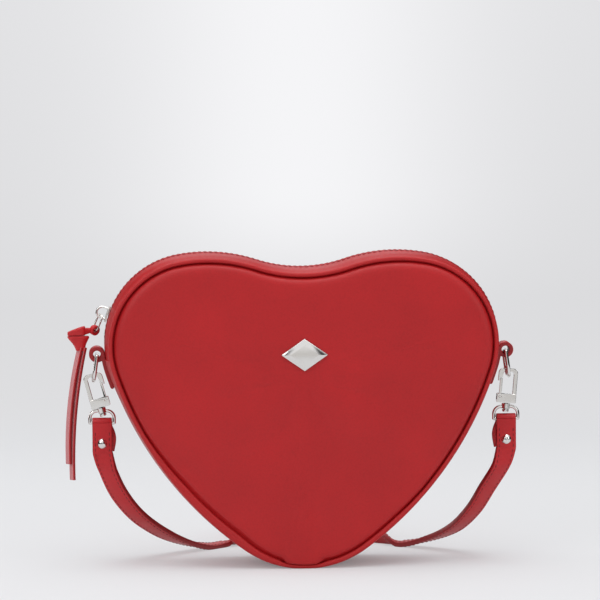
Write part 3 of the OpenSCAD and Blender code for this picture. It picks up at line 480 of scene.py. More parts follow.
def studio(tree, colour):
    """Seamless painted board, matt and pale. Its far part glows to the camera and to the metal, with a
    painted falloff of light and a painted pool of light; near the bag a weaker glow pales the real shadows,
    and the metal alone sees the floor ahead and at the sides as a painted grey and dark reflection.
    """
    where = add(tree, "ShaderNodeTexCoord")["Object"]
    x, y, z = add(tree, "ShaderNodeSeparateXYZ", {0: where})
    # The board's tooth is 1.4 mm wide
    fibre = add(tree, "ShaderNodeTexNoise", {"Vector": where, "Scale": 700.0, "Detail": 3.0})
    relief = add(tree, "ShaderNodeBump", {"Strength": 0.04, "Distance": 0.05 * MM, "Height": fibre["Fac"]})
    board = add(tree, "ShaderNodeBsdfPrincipled",
                {"Base Color": colour, "Normal": relief[0], "Roughness": 0.9})
    # Painted light and shade on the glow: tones are laid by height and side as they look from the front, 2.2
    # m off and 0.3 m up
    away = add(tree, "ShaderNodeMath", {0: y, 1: 2.2})
    depth = add(tree, "ShaderNodeMath", {0: away[0], 1: 0.3}, operation="MAXIMUM")
    above = add(tree, "ShaderNodeMath", {0: z, 1: -0.3})
    rise = add(tree, "ShaderNodeMath", {0: above[0], 1: depth[0]}, operation="DIVIDE")
    across = add(tree, "ShaderNodeMath", {0: x, 1: 0.123})
    aside = add(tree, "ShaderNodeMath", {0: across[0], 1: depth[0]}, operation="DIVIDE")
    # Painted falloff of light: pale near the lens, a little darker half way up the sides
    level = add(tree, "ShaderNodeMapRange", {"Value": rise[0], "From Min": -0.137, "From Max": 0.004})
    deep = add(tree, "ShaderNodeValToRGB", {"Fac": level[0]})
    stops = deep[0].node.color_ramp.elements
    stops[0].color, stops[1].color = linear("#E9E9EB"), linear("#E1E1E3")
    for place, code in ((0.15, "#E6E6E8"), (0.3, "#DEDEE0"), (0.48, "#DBDBDD"), (0.7, "#DEDEE0")):
        stops.new(place).color = linear(code)
    # A broad soft painted pool of light brightens the middle of the wall
    middle = add(tree, "ShaderNodeMath", {0: aside[0], 1: -0.056})
    offset = add(tree, "ShaderNodeMath", {0: middle[0], 1: 22.0}, operation="MULTIPLY")
    square = add(tree, "ShaderNodeMath", {0: offset[0], 1: offset[0]}, operation="MULTIPLY")
    wide = add(tree, "ShaderNodeMath", {0: math.exp(-1), 1: square[0]}, operation="POWER")
    high = add(tree, "ShaderNodeMapRange", {"Value": rise[0], "From Min": -0.085, "From Max": -0.04},
               interpolation_type="SMOOTHSTEP")
    bright = add(tree, "ShaderNodeMath", {0: wide[0], 1: high[0]}, operation="MULTIPLY")
    wall = add(tree, "ShaderNodeMix", {0: bright[0], 6: deep[0], 7: linear("#F5F5F7")}, data_type="RGBA")
    # For the metal alone the floor ahead and at the sides glows as a painted reflection, pale grey ahead and
    # dark at the sides, which gives the metal its grey faces and dark edges
    rays = add(tree, "ShaderNodeLightPath")
    front = add(tree, "ShaderNodeMapRange", {"Value": y, "From Min": -0.35, "From Max": -1.1})
    wing = add(tree, "ShaderNodeMath", {0: x}, operation="ABSOLUTE")
    flank = add(tree, "ShaderNodeMapRange", {"Value": wing[0], "From Min": 0.35, "From Max": 0.7})
    painted_reflection_mask = add(tree, "ShaderNodeMath", {0: front[0], 1: flank[0]}, operation="MAXIMUM")
    dim = add(tree, "ShaderNodeMath", {0: painted_reflection_mask[0], 1: rays["Is Glossy Ray"]}, operation="MULTIPLY")
    grey = add(tree, "ShaderNodeMix", {0: flank[0], 6: linear("#DDDBD9"), 7: linear("#2A2828")},
               data_type="RGBA")
    tone = add(tree, "ShaderNodeMix", {0: dim[0], 6: wall[2], 7: grey[2]}, data_type="RGBA")
    glow = add(tree, "ShaderNodeEmission", {"Color": tone[2], "Strength": 1.0})
    # Close round the bag the board shows mostly its real shadows; further out a glow pales them more and more
    apart = add(tree, "ShaderNodeVectorMath", {0: where, 1: (1.0, 2.5, 0.0)}, operation="MULTIPLY")
    reach = add(tree, "ShaderNodeVectorMath", {0: apart[0]}, operation="LENGTH")
    open_floor = add(tree, "ShaderNodeMapRange",
                     {"Value": reach["Value"], "From Min": 0.02, "From Max": 0.16,
                      "To Min": 0.14, "To Max": 0.58})
    far = add(tree, "ShaderNodeMapRange", {"Value": y, "From Min": 0.25, "From Max": 1.0},
              interpolation_type="SMOOTHSTEP")
    clear = add(tree, "ShaderNodeMath", {0: far[0], 1: open_floor[0]}, operation="MAXIMUM")
    lit = add(tree, "ShaderNodeMath", {0: clear[0], 1: dim[0]}, operation="MAXIMUM")
    seen = add(tree, "ShaderNodeMath", {0: rays["Is Camera Ray"], 1: rays["Is Glossy Ray"]},
               operation="MAXIMUM")
    share = add(tree, "ShaderNodeMath", {0: seen[0], 1: lit[0]}, operation="MULTIPLY")
    return add(tree, "ShaderNodeMixShader", {0: share[0], 1: board[0], 2: glow[0]})


def finishes(context):
    """The bag's materials by name, made on first use from the panel's colours."""
    tint, sizes = context.scene.heart_bag_colours, context.scene.heart_bag_sizes
    recipes = {
        "Panel calf": (calf, tint.leather, sizes.grain, 0.46, 0.0),
        "Grained calf": (calf, tint.leather, sizes.grain, 0.44, 0.25),
        "Strap calf": (calf, tint.strap, sizes.grain, 0.42, 0.2),
        "Edge paint": (edge_paint, tint.edge),
        "Flesh side and painted highlight": (moulded, tint.flesh, 0.8, 0.7),
        "Twill lining": (woven, tint.lining, 0.7, 0.75, 0.15),
        "Zip tape": (woven, tint.zip, 0.6, 0.7, 0.2),
        "Nylon teeth": (moulded, tint.zip, 0.38, 0.8),
        "Bonded thread": (moulded, tint.thread, 0.5, 0.4),
        "Pressed fibre board": (moulded, linear("#A98D66"), 0.85, 1.6),
        "Polyester wadding": (moulded, linear("#D9D8D2"), 0.95, 2.2),
        "Polished nickel": (plated, tint.metal, 0.13),
        "Spring steel": (plated, linear("#8E8F93"), 0.28),
    }
    return {name: bpy.data.materials.get(name) or new_finish(name, *recipe)
            for name, recipe in recipes.items()}


# Leather panels
def swell_y(inset, side):
    """Height of a panel over the middle plane at a distance in from the crest."""
    t = min(1.0, max(0.0, inset - WALL) / ROLL_RUN)
    s = min(1.0, (inset - GROOVE) / DEEP)
    return SEAM_Y + ROLL_H * math.sqrt(max(0.0, 1 - (1 - t) ** 2)) + SWELL[side] * math.sin(math.pi / 2 * s)


# Beside the tip the front panel ends further in, and at the tip it comes down over the piping
TIP_X = (-88, -78, -68, -50, -38, -25, -14.6, -10, 6, 11, 50, 64)
TIP_SLACK = (0, 1.2, 2.4, 2.9, 3.2, 1.9, 0.9, -1.0, -1.0, 0.6, 0.7, 0)


def tip_slack(place, side):
    """How much further in the front panel ends at a place on the lower half."""
    x, z = on_outline(place, -WALL)
    return float(np.interp(x, TIP_X, TIP_SLACK)) if side == FRONT and z < 80 else 0.0


def heart_ring(track, share, y, edge=GROOVE):
    """Ring of a heart shaped sheet: share 0 is its edge, 1 the deepest offset, 2 its middle point."""
    out = []
    for place in track:
        x, z = on_outline(place, -mix(edge, edge + DEEP, min(share, 1.0)))
        if share > 1:
            x, z = mix(x, HEART_MIDDLE[0], share - 1), mix(z, HEART_MIDDLE[1], share - 1)
        out.append(Vector((x, -y, z)))
    return out


def pucker(x, z, sizes):
    """Depth of the two small creases where a panel is eased round the tip."""
    depth = 0.0
    for cx, lean in ((-13.0, 0.5), (11.5, -0.5)):
        across = (x - cx) - lean * (z - 5.0)
        depth += sizes.crease * math.exp(-(across / 1.5) ** 2) * math.exp(-((z - 4.0) / 5.0) ** 2)
    return depth


# Rings from the hem over the rolled edge, which are held in draping and have no flesh side drawn
HEM_RINGS = 6
# Frames that the cloth is given to settle
DRAPE_FRAMES = 16


def drape(rings, sizes):
    """Blows a panel's outer skin up a little as cloth held by its hem, and returns the moved rings."""
    n, m = len(rings[0]), len(rings)
    mesh = bpy.data.meshes.new("skin")
    faces = [(k * n + i, k * n + (i + 1) % n, (k + 1) * n + (i + 1) % n, (k + 1) * n + i)
             for k in range(m - 1) for i in range(n)]
    faces.append(tuple((m - 1) * n + i for i in range(n)))
    mesh.from_pydata([p * MM for ring in rings for p in ring], [], faces)
    outward(mesh)
    skin = new_object("skin", mesh)
    # The hem, the rolled edge and the fixing of the ornament are held
    held = skin.vertex_groups.new(name="held")
    for k, ring in enumerate(rings):
        for i, p in enumerate(ring):
            if k < HEM_RINGS or from_ornament(p) < ORNAMENT_HOLD:
                held.add([k * n + i], 1.0, "REPLACE")
    cloth = skin.modifiers.new("Cloth", "CLOTH")
    fibre = cloth.settings
    fibre.quality, fibre.mass, fibre.air_damping = 5, 0.6, 5
    fibre.tension_stiffness = fibre.compression_stiffness = fibre.shear_stiffness = 40
    fibre.bending_stiffness = 2.0
    fibre.vertex_group_mass = "held"
    fibre.use_pressure, fibre.uniform_pressure_force = True, sizes.pressure
    fibre.effector_weights.gravity = 0
    cloth.collision_settings.use_collision = False
    cloth.collision_settings.use_self_collision = False
    cloth.point_cache.frame_start, cloth.point_cache.frame_end = 1, DRAPE_FRAMES
    scene = bpy.context.scene
    for step in range(1, DRAPE_FRAMES + 1):
        scene.frame_set(step)
    eased = skin.evaluated_get(bpy.context.evaluated_depsgraph_get()).data
    moved = np.zeros(len(eased.vertices) * 3)
    eased.vertices.foreach_get("co", moved)
    moved = moved.reshape(-1, 3) / MM
    scene.frame_set(1)
    out = []
    for k, ring in enumerate(rings):
        row = []
        for i, p in enumerate(ring):
            shift = Vector(moved[k * n + i]) - p
            shift *= min(1.0, sizes.cap / max(shift.length, 1e-6))
            shift *= ease((from_ornament(p) - ORNAMENT_HOLD) / 18)
            row.append(p + shift)
        out.append(row)
    bpy.data.objects.remove(skin)
    bpy.data.meshes.remove(mesh)
    return out


def panel_rings(side, sizes):
    """Outer rings of a leather panel from its hem to its middle."""
    track = whole_track(sizes.step)
    shares = [0.0153, 0.021, 0.034, 0.056, 0.085, 0.125, 0.18] + [mix(0.24, 1.0, i / 11) for i in range(12)]
    shares += [1.12, 1.26, 1.42, 1.6, 1.8, 1.94]
    # The leather lies flat under the groove beside the piping, then turns up into the padded face
    rings = [heart_ring(track, 0.0, SEAM_Y - 0.7), heart_ring(track, 0.0153, SEAM_Y - 0.7)]
    for share in shares:
        inset = mix(GROOVE, GROOVE + DEEP, min(share, 1.0))
        ring = heart_ring(track, share, swell_y(inset, side))
        for place, p in zip(track, ring):
            # The rim moves, and takes the rings next to it along
            near = tip_slack(place, side) * (1 - ease((inset - WALL) / 18))
            (x0, z0), (x1, z1) = on_outline(place, -inset), on_outline(place, -inset - near)
            p.x, p.z = p.x + x1 - x0, p.z + z1 - z0
            p.y += 1.3 * min(0.0, near) * (1 - ease((inset - WALL) / 3))
            # Faint waves about 46 mm long, which die out at the rim and round the ornament
            wave = noise.noise(Vector((p.x / 46, p.z / 46, 7.3 * side)))
            swell = 0.14 * wave * ease(share / 0.3) * ease((from_ornament(p) - 18) / 20)
            if side == FRONT:
                swell -= pucker(p.x, p.z, sizes) * (1 - ease(share / 0.3))
            p.y -= swell
        rings.append(ring)
    return rings


def panel(name, side, sizes):
    """Leather panel: draped outer skin, hem turned over the piping, and flesh side."""
    skin = panel_rings(side, sizes)
    skin = drape(skin, sizes)
    track = whole_track(sizes.step)
    flesh = [[p + Vector((0, LEATHER_T, 0)) for p in ring] for ring in skin[HEM_RINGS:]]
    hem = [heart_ring(track, 0.0, SEAM_Y - LEATHER_T), heart_ring(track, 0.05, SEAM_Y - LEATHER_T)]
    rings = list(reversed(skin)) + hem + flesh
    return loft(name, facing(rings, side))


def wadding(name, side, sizes):
    """Thin pad between a board and its leather, fullest in the middle and thinned at its edge."""
    track = whole_track(2 * sizes.step)
    under = SEAM_Y - LEATHER_T
    top = [(s, swell_y(GROOVE + s * DEEP, side) - LEATHER_T - 0.12) for s in (0.15, 0.3, 0.5, 0.75, 1.0)]
    rings = [heart_ring(track, 1.9, under), heart_ring(track, 1.0, under), heart_ring(track, 0.13, under)]
    rings += [heart_ring(track, 0.12, under + 0.8)] + [heart_ring(track, s, y) for s, y in top]
    rings += [heart_ring(track, 1.9, top[-1][1])]
    return loft(name, facing(rings, side))


def cloth_heart(name, inset, y, thick, side, sizes):
    """Lining sheet glued to a board, with the faint waves of hand laid cloth."""
    track = whole_track(2 * sizes.step)
    shares = [0, 0.05, 0.15, 0.3, 0.5, 0.75, 1.0, 1.3, 1.6, 1.9]
    outer, inner = [], []
    for share in shares:
        ring = heart_ring(track, share, y, inset)
        for p in ring:
            p.y += 0.05 * noise.noise(Vector((p.x / 14, p.z / 14, 3.1)))
        outer.append(ring)
        inner.append([p + Vector((0, thick, 0)) for p in ring])
    rings = list(reversed(outer)) + inner
    return loft(name, facing(rings, side))


def piping(name, side, sizes):
    """Leather covered cord, pressed flat where the bag stands."""
    rings = []
    for place in whole_track(sizes.step):
        spread = 0.43 * max(0.0, tip_slack(place, side))
        ring = []
        for turn in round_turns(14):
            ring.append(spot(place, PIPING_U - spread + (PIPING_D / 2 + spread) * math.sin(turn),
                             side * (SEAM_Y + (PIPING_D / 2 + 0.2 * spread) * math.cos(turn))))
        rings.append(ring)
    return loft(name, rings, loop=True)


# Gusset and zip
def strip_rings(track, y_from, y_to, sink, thick, steps, lift=None):
    """Rings of a leather or cloth strip laid on the dome across the bag."""
    ys = [mix(y_from, y_to, i / steps) for i in range(steps + 1)]
    rings = []
    for place in track:
        ring = [spot(place, dome(y) - sink - thick, y, sink + thick) for y in ys]
        ring += [spot(place, dome(y) - sink + (lift(place, y) if lift else 0), y, sink) for y in reversed(ys)]
        rings.append(ring)
    return rings


TURNED_AT = -9.6


def turned_end(place, y):
    """Lift of the gusset where its turned end lies over the zip facings, beside the ring tab."""
    k, phi, _ = place
    if k > LOBE or k == LOBE and phi > TURNED_AT:
        return 0.0
    down = math.radians(TURNED_AT - max(phi, SIDE_END)) * ARCS[LOBE][1]
    if k < LOBE:
        down += math.radians(SIDE_END - phi) * ARCS[SIDE][1]
    return 0.55 * (1 - ease(down / 34)) * ease((abs(y) - 5.8) / 1.2)


def facing_lift(place, y):
    """Relief of a zip facing: edge rolled over the tape, groove beside the stitches, rise at the seam."""
    rolled = -0.3 * math.exp(-((y - FACING_IN) / 0.5) ** 2)
    sunk = -0.22 * math.exp(-((y - SEWN_AT - 1.0) / 0.8) ** 2)
    return rolled + sunk + 0.25 * math.exp(-((y - 17.0) / 4.0) ** 2)


def zip_line(u, y, first, step=1.5):
    return [spot(place, u, y) for place in zip_track(first, step)]


# Tabs, pull, strap
def ray(turn):
    """Unit vector at an angle in the XZ plane."""
    return Vector((math.cos(turn), 0, math.sin(turn)))


def around(middle, radius, turns):
    """Points round a middle in the XZ plane."""
    return [middle + radius * ray(a) for a in turns]


def bevel(piece, name, width, segments, degrees):
    """Rounds a piece's edges sharper than an angle, to a width in millimetres."""
    soft = piece.modifiers.new(name, "BEVEL")
    soft.width, soft.segments = width * MM, segments
    soft.limit_method, soft.angle_limit = "ANGLE", math.radians(degrees)
    return soft


def ring_tab(name, side):
    """Doubled leather tab: a loop for the ring and a tail sewn down on the gusset."""
    lobe, radius = ARCS[LOBE][:2]
    start = math.radians(TAB_AT)
    middle = around(Vector((lobe[0], 0, lobe[1])), radius + TAB_R, [start])[0]

    def crest(phi, u):
        x, z = on_outline((LOBE if phi >= SIDE_END else SIDE, phi, 1), u)
        return Vector((x, 0, z))

    # The tail's outer line leaves the loop where the two circles cross, 4.2 degrees below it
    below = [mix(SIDE_END, TAB_TAIL_END, i / 4) for i in range(1, 5)]
    tail_in = [crest(mix(TAB_AT, SIDE_END, i / 8), 0) for i in range(9)] + [crest(t, 0) for t in below]
    tail_out = [crest(mix(TAB_AT - 4.2, SIDE_END, i / 6), TAB_T) for i in range(7)]
    tail_out += [crest(t, TAB_T) for t in below]
    end, across = (tail_in[-1] + tail_out[-1]) / 2, (tail_out[-1] - tail_in[-1]) / 2
    down = (tail_in[-1] - tail_in[-3]).normalized() * across.length
    cap = [end + across * math.cos(math.radians(a)) + down * math.sin(math.radians(a))
           for a in (150, 120, 90, 60, 30)]
    first, last = [math.atan2(p.z - middle.z, p.x - middle.x) for p in (tail_out[0], tail_in[0])]
    last += 2 * math.pi if last < first else 0
    outer = around(middle, TAB_R, np.linspace(first, last, 34)) + tail_in[1:] + cap + tail_out[:0:-1]
    hole = around(middle, TAB_HOLE, round_turns(28))
    work = bmesh.new()
    edges = []
    for line in (outer, hole):
        verts = [work.verts.new(Vector((side * p.x, -TAB_W / 2, p.z)) * MM) for p in line]
        edges += [work.edges.new((verts[i], verts[(i + 1) % len(verts)])) for i in range(len(verts))]
    bmesh.ops.triangle_fill(work, edges=edges, use_beauty=True)
    bmesh.ops.dissolve_limit(work, angle_limit=0.01, verts=work.verts[:], edges=work.edges[:])
    done = bmesh.ops.extrude_face_region(work, geom=work.faces[:])
    raised = [v for v in done["geom"] if isinstance(v, bmesh.types.BMVert)]
    bmesh.ops.translate(work, vec=(0, TAB_W * MM, 0), verts=raised)
    bmesh.ops.recalc_face_normals(work, faces=work.faces)
    for face in work.faces:
        face.smooth = True
        face.material_index = 1 if abs(face.normal.y) > 0.9 else 0
    mesh = bpy.data.meshes.new(name)
    work.to_mesh(mesh)
    work.free()
    piece = new_object(name, mesh)
    bevel(piece, "Turned edge", 0.45, 3, 50).harden_normals = True
    return sharpen(piece, 50)


def frame_rings(stations, section_of):
    """Rings of a band; each station is a place, the direction across the band, and its thickness."""
    rings, ups = [], []
    n = len(stations)
    for i, (place, across, thick) in enumerate(stations):
        along = (stations[min(n - 1, i + 1)][0] - stations[max(0, i - 1)][0]).normalized()
        across = (across - along * across.dot(along)).normalized()
        up = along.cross(across)
        ups.append((along, across, up))
        rings.append([place + across * a + up * b for a, b in section_of(thick)])
    return rings, ups


def spline(p, q, r, s, t):
    """Point between q and r on the smooth curve through p, q, r and s."""
    square = (2 * p - 5 * q + 4 * r - s) * t * t
    return 0.5 * (2 * q + (r - p) * t + square + (3 * q - p - 3 * r + s) * t ** 3)


def smooth(stations, n, last=False):
    """Smooth curve through stations of place, direction and thickness, n steps between each two."""
    out = []
    for i in range(len(stations) - 1):
        a, b = stations[max(0, i - 1)], stations[i]
        c, d = stations[i + 1], stations[min(len(stations) - 1, i + 2)]
        for k in range(n):
            t = k / n
            out.append((spline(a[0], b[0], c[0], d[0], t), b[1].lerp(c[1], t), mix(b[2], c[2], t)))
    return out + [stations[-1]] if last else out


# Legs of the strap below its ends, as the right side's places and the directions across the strap
LEGS = {
    -1: ((3.0, 53, 0.85, -0.52, 0.09), (
        (102, 9, 38, 0.77, -0.57, 0.29), (91.5, 21, 24, 0.64, -0.69, 0.34),
        (77.5, 36, 12.5, 0.5, -0.81, 0.3), (64, 49.5, 5.2, 0.26, -0.95, 0.15), (52, 61, 1.4, 0, -1, 0))),
    1: ((2.8, 53, 0.91, -0.42, 0.07), (
        (105, 9, 39.5, 0.74, -0.6, 0.3), (98, 20, 25.5, 0.64, -0.69, 0.34),
        (88.5, 34, 13.5, 0.53, -0.8, 0.29), (75, 48.5, 5.6, 0.31, -0.94, 0.15), (60, 61, 1.4, 0, -1, 0))),
}


def strap_leg(side):
    """Stations from under a strap end down to the floor, on the right side."""
    x, z = abs(EYES[side][0]), EYES[side][1]
    (inward, height, *turned), places = LEGS[side]
    rows = ((x, STRAP_END_Y, z - 16.0, 1, 0, 0), (x - inward, -0.05, height, *turned), *places)
    return [(Vector(r[:3]), Vector(r[3:]), STRAP_T) for r in rows]


def run_back(stations):
    """Stations in reverse, their directions mirrored in X, for the strap's way up to its right end."""
    return [(p, Vector((-d.x, d.y, d.z)), t) for p, d, t in reversed(stations)]


def strap_fold(eye):
    """Stations of a strap end, from its tip behind, round the eye bar and down to the leg.

    The turned back layer hangs askew towards the bag, as the photograph shows on both sides, but runs
    straight round the bar, where the eye's arms leave it little room.
    """
    thin = STRAP_END_T
    turns = [math.radians(a) for a in range(0, 181, 22)]
    rows = [(0.55, -15.0, thin, 1.3), (0.55, -11.5, thin, 2.0), (0.62, -8.8, thin, 2.3),
            (1.15, -6.2, thin, 1.7), (1.85, -3.2, thin, 0.4)]
    rows += [(FOLD_R * math.cos(a), FOLD_R * math.sin(a), thin, 0.0) for a in turns]
    rows += [(-FOLD_R, 0, thin, 0), (-2.2, -2.2, 1.5, 0), (-2.0, -4.4, 1.9, 0), (-1.75, -6.6, 2.4, 0),
             (STRAP_END_Y, -8.9, STRAP_T, 0), (STRAP_END_Y, -12.5, STRAP_T, 0)]
    inward = -math.copysign(1, eye[0])
    return [(Vector((eye[0] + inward * askew, y, eye[1] + z)), Vector((1, 0, 0)), thick)
            for y, z, thick, askew in rows]


# Middle of the coil in Y, and height of its middle line
COIL_Y, COIL_Z = 115, STRAP_W / 2


def on_edge(points):
    """Stations of strap that stands on its edge, at points seen from above the coil's middle."""
    return [(Vector((x, COIL_Y + y, COIL_Z)), Vector((0, 0, 1)), STRAP_T) for x, y in points]


def coil(radius_of, angles):
    """Stations round the coil, its radius a function of the angle in degrees."""
    return on_edge([(radius_of(a) * math.cos(math.radians(a)), radius_of(a) * math.sin(math.radians(a)))
                    for a in angles])


def strap_stations():
    """The whole strap, end to end: two legs, and the rest put away as a double coil behind the bag."""
    left = [(Vector((-p.x, p.y, p.z)), d, t) for p, d, t in strap_leg(-1)]
    left += [(Vector((-41, 71.5, 1.4)), Vector((0, -1, 0)), STRAP_T),
             (Vector((-25, 75.2, 5.1)), Vector((0, -0.7, 0.7)), STRAP_T)]
    right = [(Vector((41.2, 92, COIL_Z)), Vector((0, 0, 1)), STRAP_T),
             (Vector((46.5, 76.5, 4.6)), Vector((0.4, -0.6, 0.6)), STRAP_T)]
    right += run_back(strap_leg(1))
    left_turns = coil(lambda a: 36.2 - COIL_PITCH * a / 360 * (2 if a < 0 else 1), range(-100, 501, 12))
    right_turns = coil(lambda a: 40 - COIL_PITCH * a / 360, range(540, -9, -12))
    bends = ((-26.4, -9), (-21, -18), (-10.5, -22.5), (2, -21), (10.5, -13.5), (12, -4), (6.5, 3.5),
             (-4, 5.5), (-14, 6), (-20.3, 9.8))
    route = smooth(left + left_turns[:1], 4) + left_turns
    route += smooth(on_edge(bends[::-1]) + right_turns[:1], 2) + right_turns
    route += smooth(right_turns[-1:] + right, 4) + right[-1:]
    return smooth(strap_fold(EYES[-1]) + route + run_back(strap_fold(EYES[1])), 3, last=True)


def stitch_rows(ups, stations, inset, first, last, faces=(1, -1)):
    """Lines for stitches along both edges of a band, on the given faces."""
    lines = []
    for face in faces:
        for edge in (1, -1):
            line = []
            for (place, _, thick), (_, across, up) in list(zip(stations, ups))[first:last]:
                line.append(place + across * edge * inset + up * face * (thick / 2 + 0.02))
            lines.append(line)
    return lines


def pull_frame():
    """Matrix of the pull ring on the left side, with x along its length from the bail's centre."""
    (x, z), radius = ARCS[LOBE][:2]
    seat = Matrix.Diagonal((-1, 1, 1, 1)) @ Matrix.Translation((x, 0, z))
    turns = ((0, -SLIDER_AT, "Y"), (radius + BAIL_U, 90 - PULL_DIP, "Y"), (0, PULL_TWIST, "X"))
    for shift, turn, axis in turns:
        seat = seat @ Matrix.Translation((shift, 0, 0)) @ Matrix.Rotation(math.radians(turn), 4, axis)
    return seat


def pull_tail(length, shift, y, roll):
    """Stations of one tail of the pull strip, hanging in a shallow bow."""
    a = Vector((TAIL_C[0] + shift, 0, TAIL_C[1] + 1.3))
    b = Vector((TAIL_C[0] + 7.2 + shift, 0, TAIL_C[1] - length))
    chord, bow = (b - a).length, 2.3
    radius = (chord * chord / 4 + bow * bow) / (2 * bow)
    inward = Vector((b.z - a.z, 0, a.x - b.x)).normalized()
    middle = (a + b) / 2 + inward * (radius - bow)
    first, last = (math.atan2(p.z - middle.z, p.x - middle.x) for p in (a, b))
    out = []
    for turn in np.linspace(first, last, 33):
        away = ray(turn)
        place = middle + away * radius + Vector((0, y, 0))
        place.x, away.x = -place.x, -away.x
        lean = math.radians(roll)
        out.append((place, away * math.cos(lean) + Vector((0, 1, 0)) * math.sin(lean), PULL_T))
    return out


def oval_ring(x, y, z, half_x, half_y, n=28, power=2.0):
    """Flat ring of the pull strip's gathered knot."""
    out = []
    for turn in round_turns(n):
        c, s = math.cos(turn), math.sin(turn)
        out.append(Vector((-(x + half_x * math.copysign(abs(c) ** (2 / power), c)),
                           y + half_y * math.copysign(abs(s) ** (2 / power), s), z)))
    return out


def pull_knot():
    """The knot's three leathers: gathered funnel, flat turn across its mouth, and the loop on the ring."""
    rows = ((120.4, 2.55, 1.9), (121.4, 2.7, 2.0), (122.8, 3.1, 2.15), (124.4, 3.9, 2.35), (126.0, 5.0, 2.6),
            (127.1, 5.75, 2.8), (127.5, 6.0, 2.95), (128.0, 6.05, 3.0), (128.4, 5.9, 2.9), (128.5, 5.4, 2.5),
            (128.1, 4.9, 2.0), (127.4, 4.4, 1.6))
    rings = []
    for z, half_x, half_y in rows:
        t = (z - 120.4) / 8
        rings.append(oval_ring(mix(TAIL_C[0], KNOT_C[0], t), mix(-1.4, -0.4, t), z, half_x, half_y, 36, 2.6))
    # Gathers run down the funnel from its mouth
    for k, ring in enumerate(rings[:6]):
        middle = sum(ring, Vector()) / len(ring)
        for i, p in enumerate(ring):
            fold = 0.05 * math.cos(2 * math.pi * i / 36 * 7 + 0.6) * (1 - k / 8)
            ring[i] = middle + (p - middle) * (1 + fold)
    funnel = loft("funnel", rings)
    flap_rows = ((130.35, 129.7, 0.7, 1.2), (130.1, 129.75, 1.0, 2.0), (129.2, 129.95, 1.25, 2.5),
                 (127.2, 130.35, 1.6, 2.7), (124.6, 130.85, 2.05, 2.8), (122.2, 131.25, 2.45, 2.75),
                 (120.9, 131.4, 2.55, 2.5), (120.5, 131.4, 2.2, 1.9))
    flap_rings = []
    for x, z, half_z, half_y in flap_rows:
        section = block_section(2 * half_y, 2 * half_z, 0.75, 3)
        flap_rings.append([Vector((-x, -0.4 + a, z + b)) for a, b in section])
    flap = loft("flap", flap_rings)
    seat = pull_frame()
    loop_rings = []
    for turn in round_turns(28):
        out = ray(turn)
        section = block_section(2.8, 1.7, 0.5, 2)
        middle = Vector((PULL_END, 0, 0))
        loop_rings.append([seat @ (middle + out * (2.05 + b) + Vector((0, a, 0))) for a, b in section])
    loop = loft("loop", loop_rings, loop=True)
    neck_from = Vector((-KNOT_PIVOT[0] - 1.9, 0.1, KNOT_PIVOT[1] - 0.1))
    neck_to = Vector((-121.6, -0.3, 131.0))
    neck_rings = []
    for i in range(7):
        t = i / 6
        place = neck_from.lerp(neck_to, t)
        section = block_section(mix(3.0, 4.6, t), mix(2.6, 4.2, t), 0.8, 2)
        neck_rings.append([place + Vector((0, a, b)) for a, b in section])
    neck = loft("neck", neck_rings)
    return [sharpen(part, 55) for part in (funnel, flap, loop, neck)]


# Metalwork
def refinish(node, finish):
    """Gives a CAD piece one finish in all its slots, and returns the piece."""
    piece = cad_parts[node]
    for slot in piece.material_slots:
        slot.material = finish
    return piece


def polish(node, finish, edge=0.0):
    """Metal finish on a CAD piece, with its facets smoothed and its sharp edges broken by modifiers."""
    piece = refinish(node, finish)
    piece.modifiers.new("Weld", "WELD").merge_threshold = 1e-6
    if edge:
        flat = piece.modifiers.new("Plain faces", "DECIMATE")
        flat.decimate_type, flat.angle_limit = "DISSOLVE", math.radians(2)
        bevel(piece, "Broken edges", edge, 2, 35).use_clamp_overlap = False
    smoothing = piece.modifiers.new("Smooth", "NODES")
    smoothing.node_group = bpy.data.node_groups.get("Smooth faces") or smooth_tree("Smooth faces")
    if edge:
        piece.modifiers.new("Even shading", "WEIGHTED_NORMAL").keep_sharp = True


def smooth_tree(name):
    """Tree that shades faces smooth and keeps edges over 35 degrees sharp."""
    tree = bpy.data.node_groups.new(name, "GeometryNodeTree")
    tree.interface.new_socket(name="Piece", in_out="INPUT", socket_type="NodeSocketGeometry")
    tree.interface.new_socket(name="Piece", in_out="OUTPUT", socket_type="NodeSocketGeometry")
    given = add(tree, "NodeGroupInput")
    faces = add(tree, "GeometryNodeSetShadeSmooth", {0: given[0]}, domain="FACE")
    angle = add(tree, "GeometryNodeInputMeshEdgeAngle")
    soft = add(tree, "FunctionNodeCompare", {0: angle[0], 1: math.radians(35)}, operation="LESS_THAN")
    edges = add(tree, "GeometryNodeSetShadeSmooth", {0: faces[0], "Shade Smooth": soft[0]}, domain="EDGE")
    add(tree, "NodeGroupOutput", {0: edges[0]})
    return tree


# Properties
def millimetres(label, text, value, low, high):
    return bpy.props.FloatProperty(name=label, description=text, default=value, min=low, max=high)


def colour(label, text, code):
    return bpy.props.FloatVectorProperty(name=label, description=text, default=linear(code), size=4,
                                         subtype="COLOR", min=0.0, max=1.0)


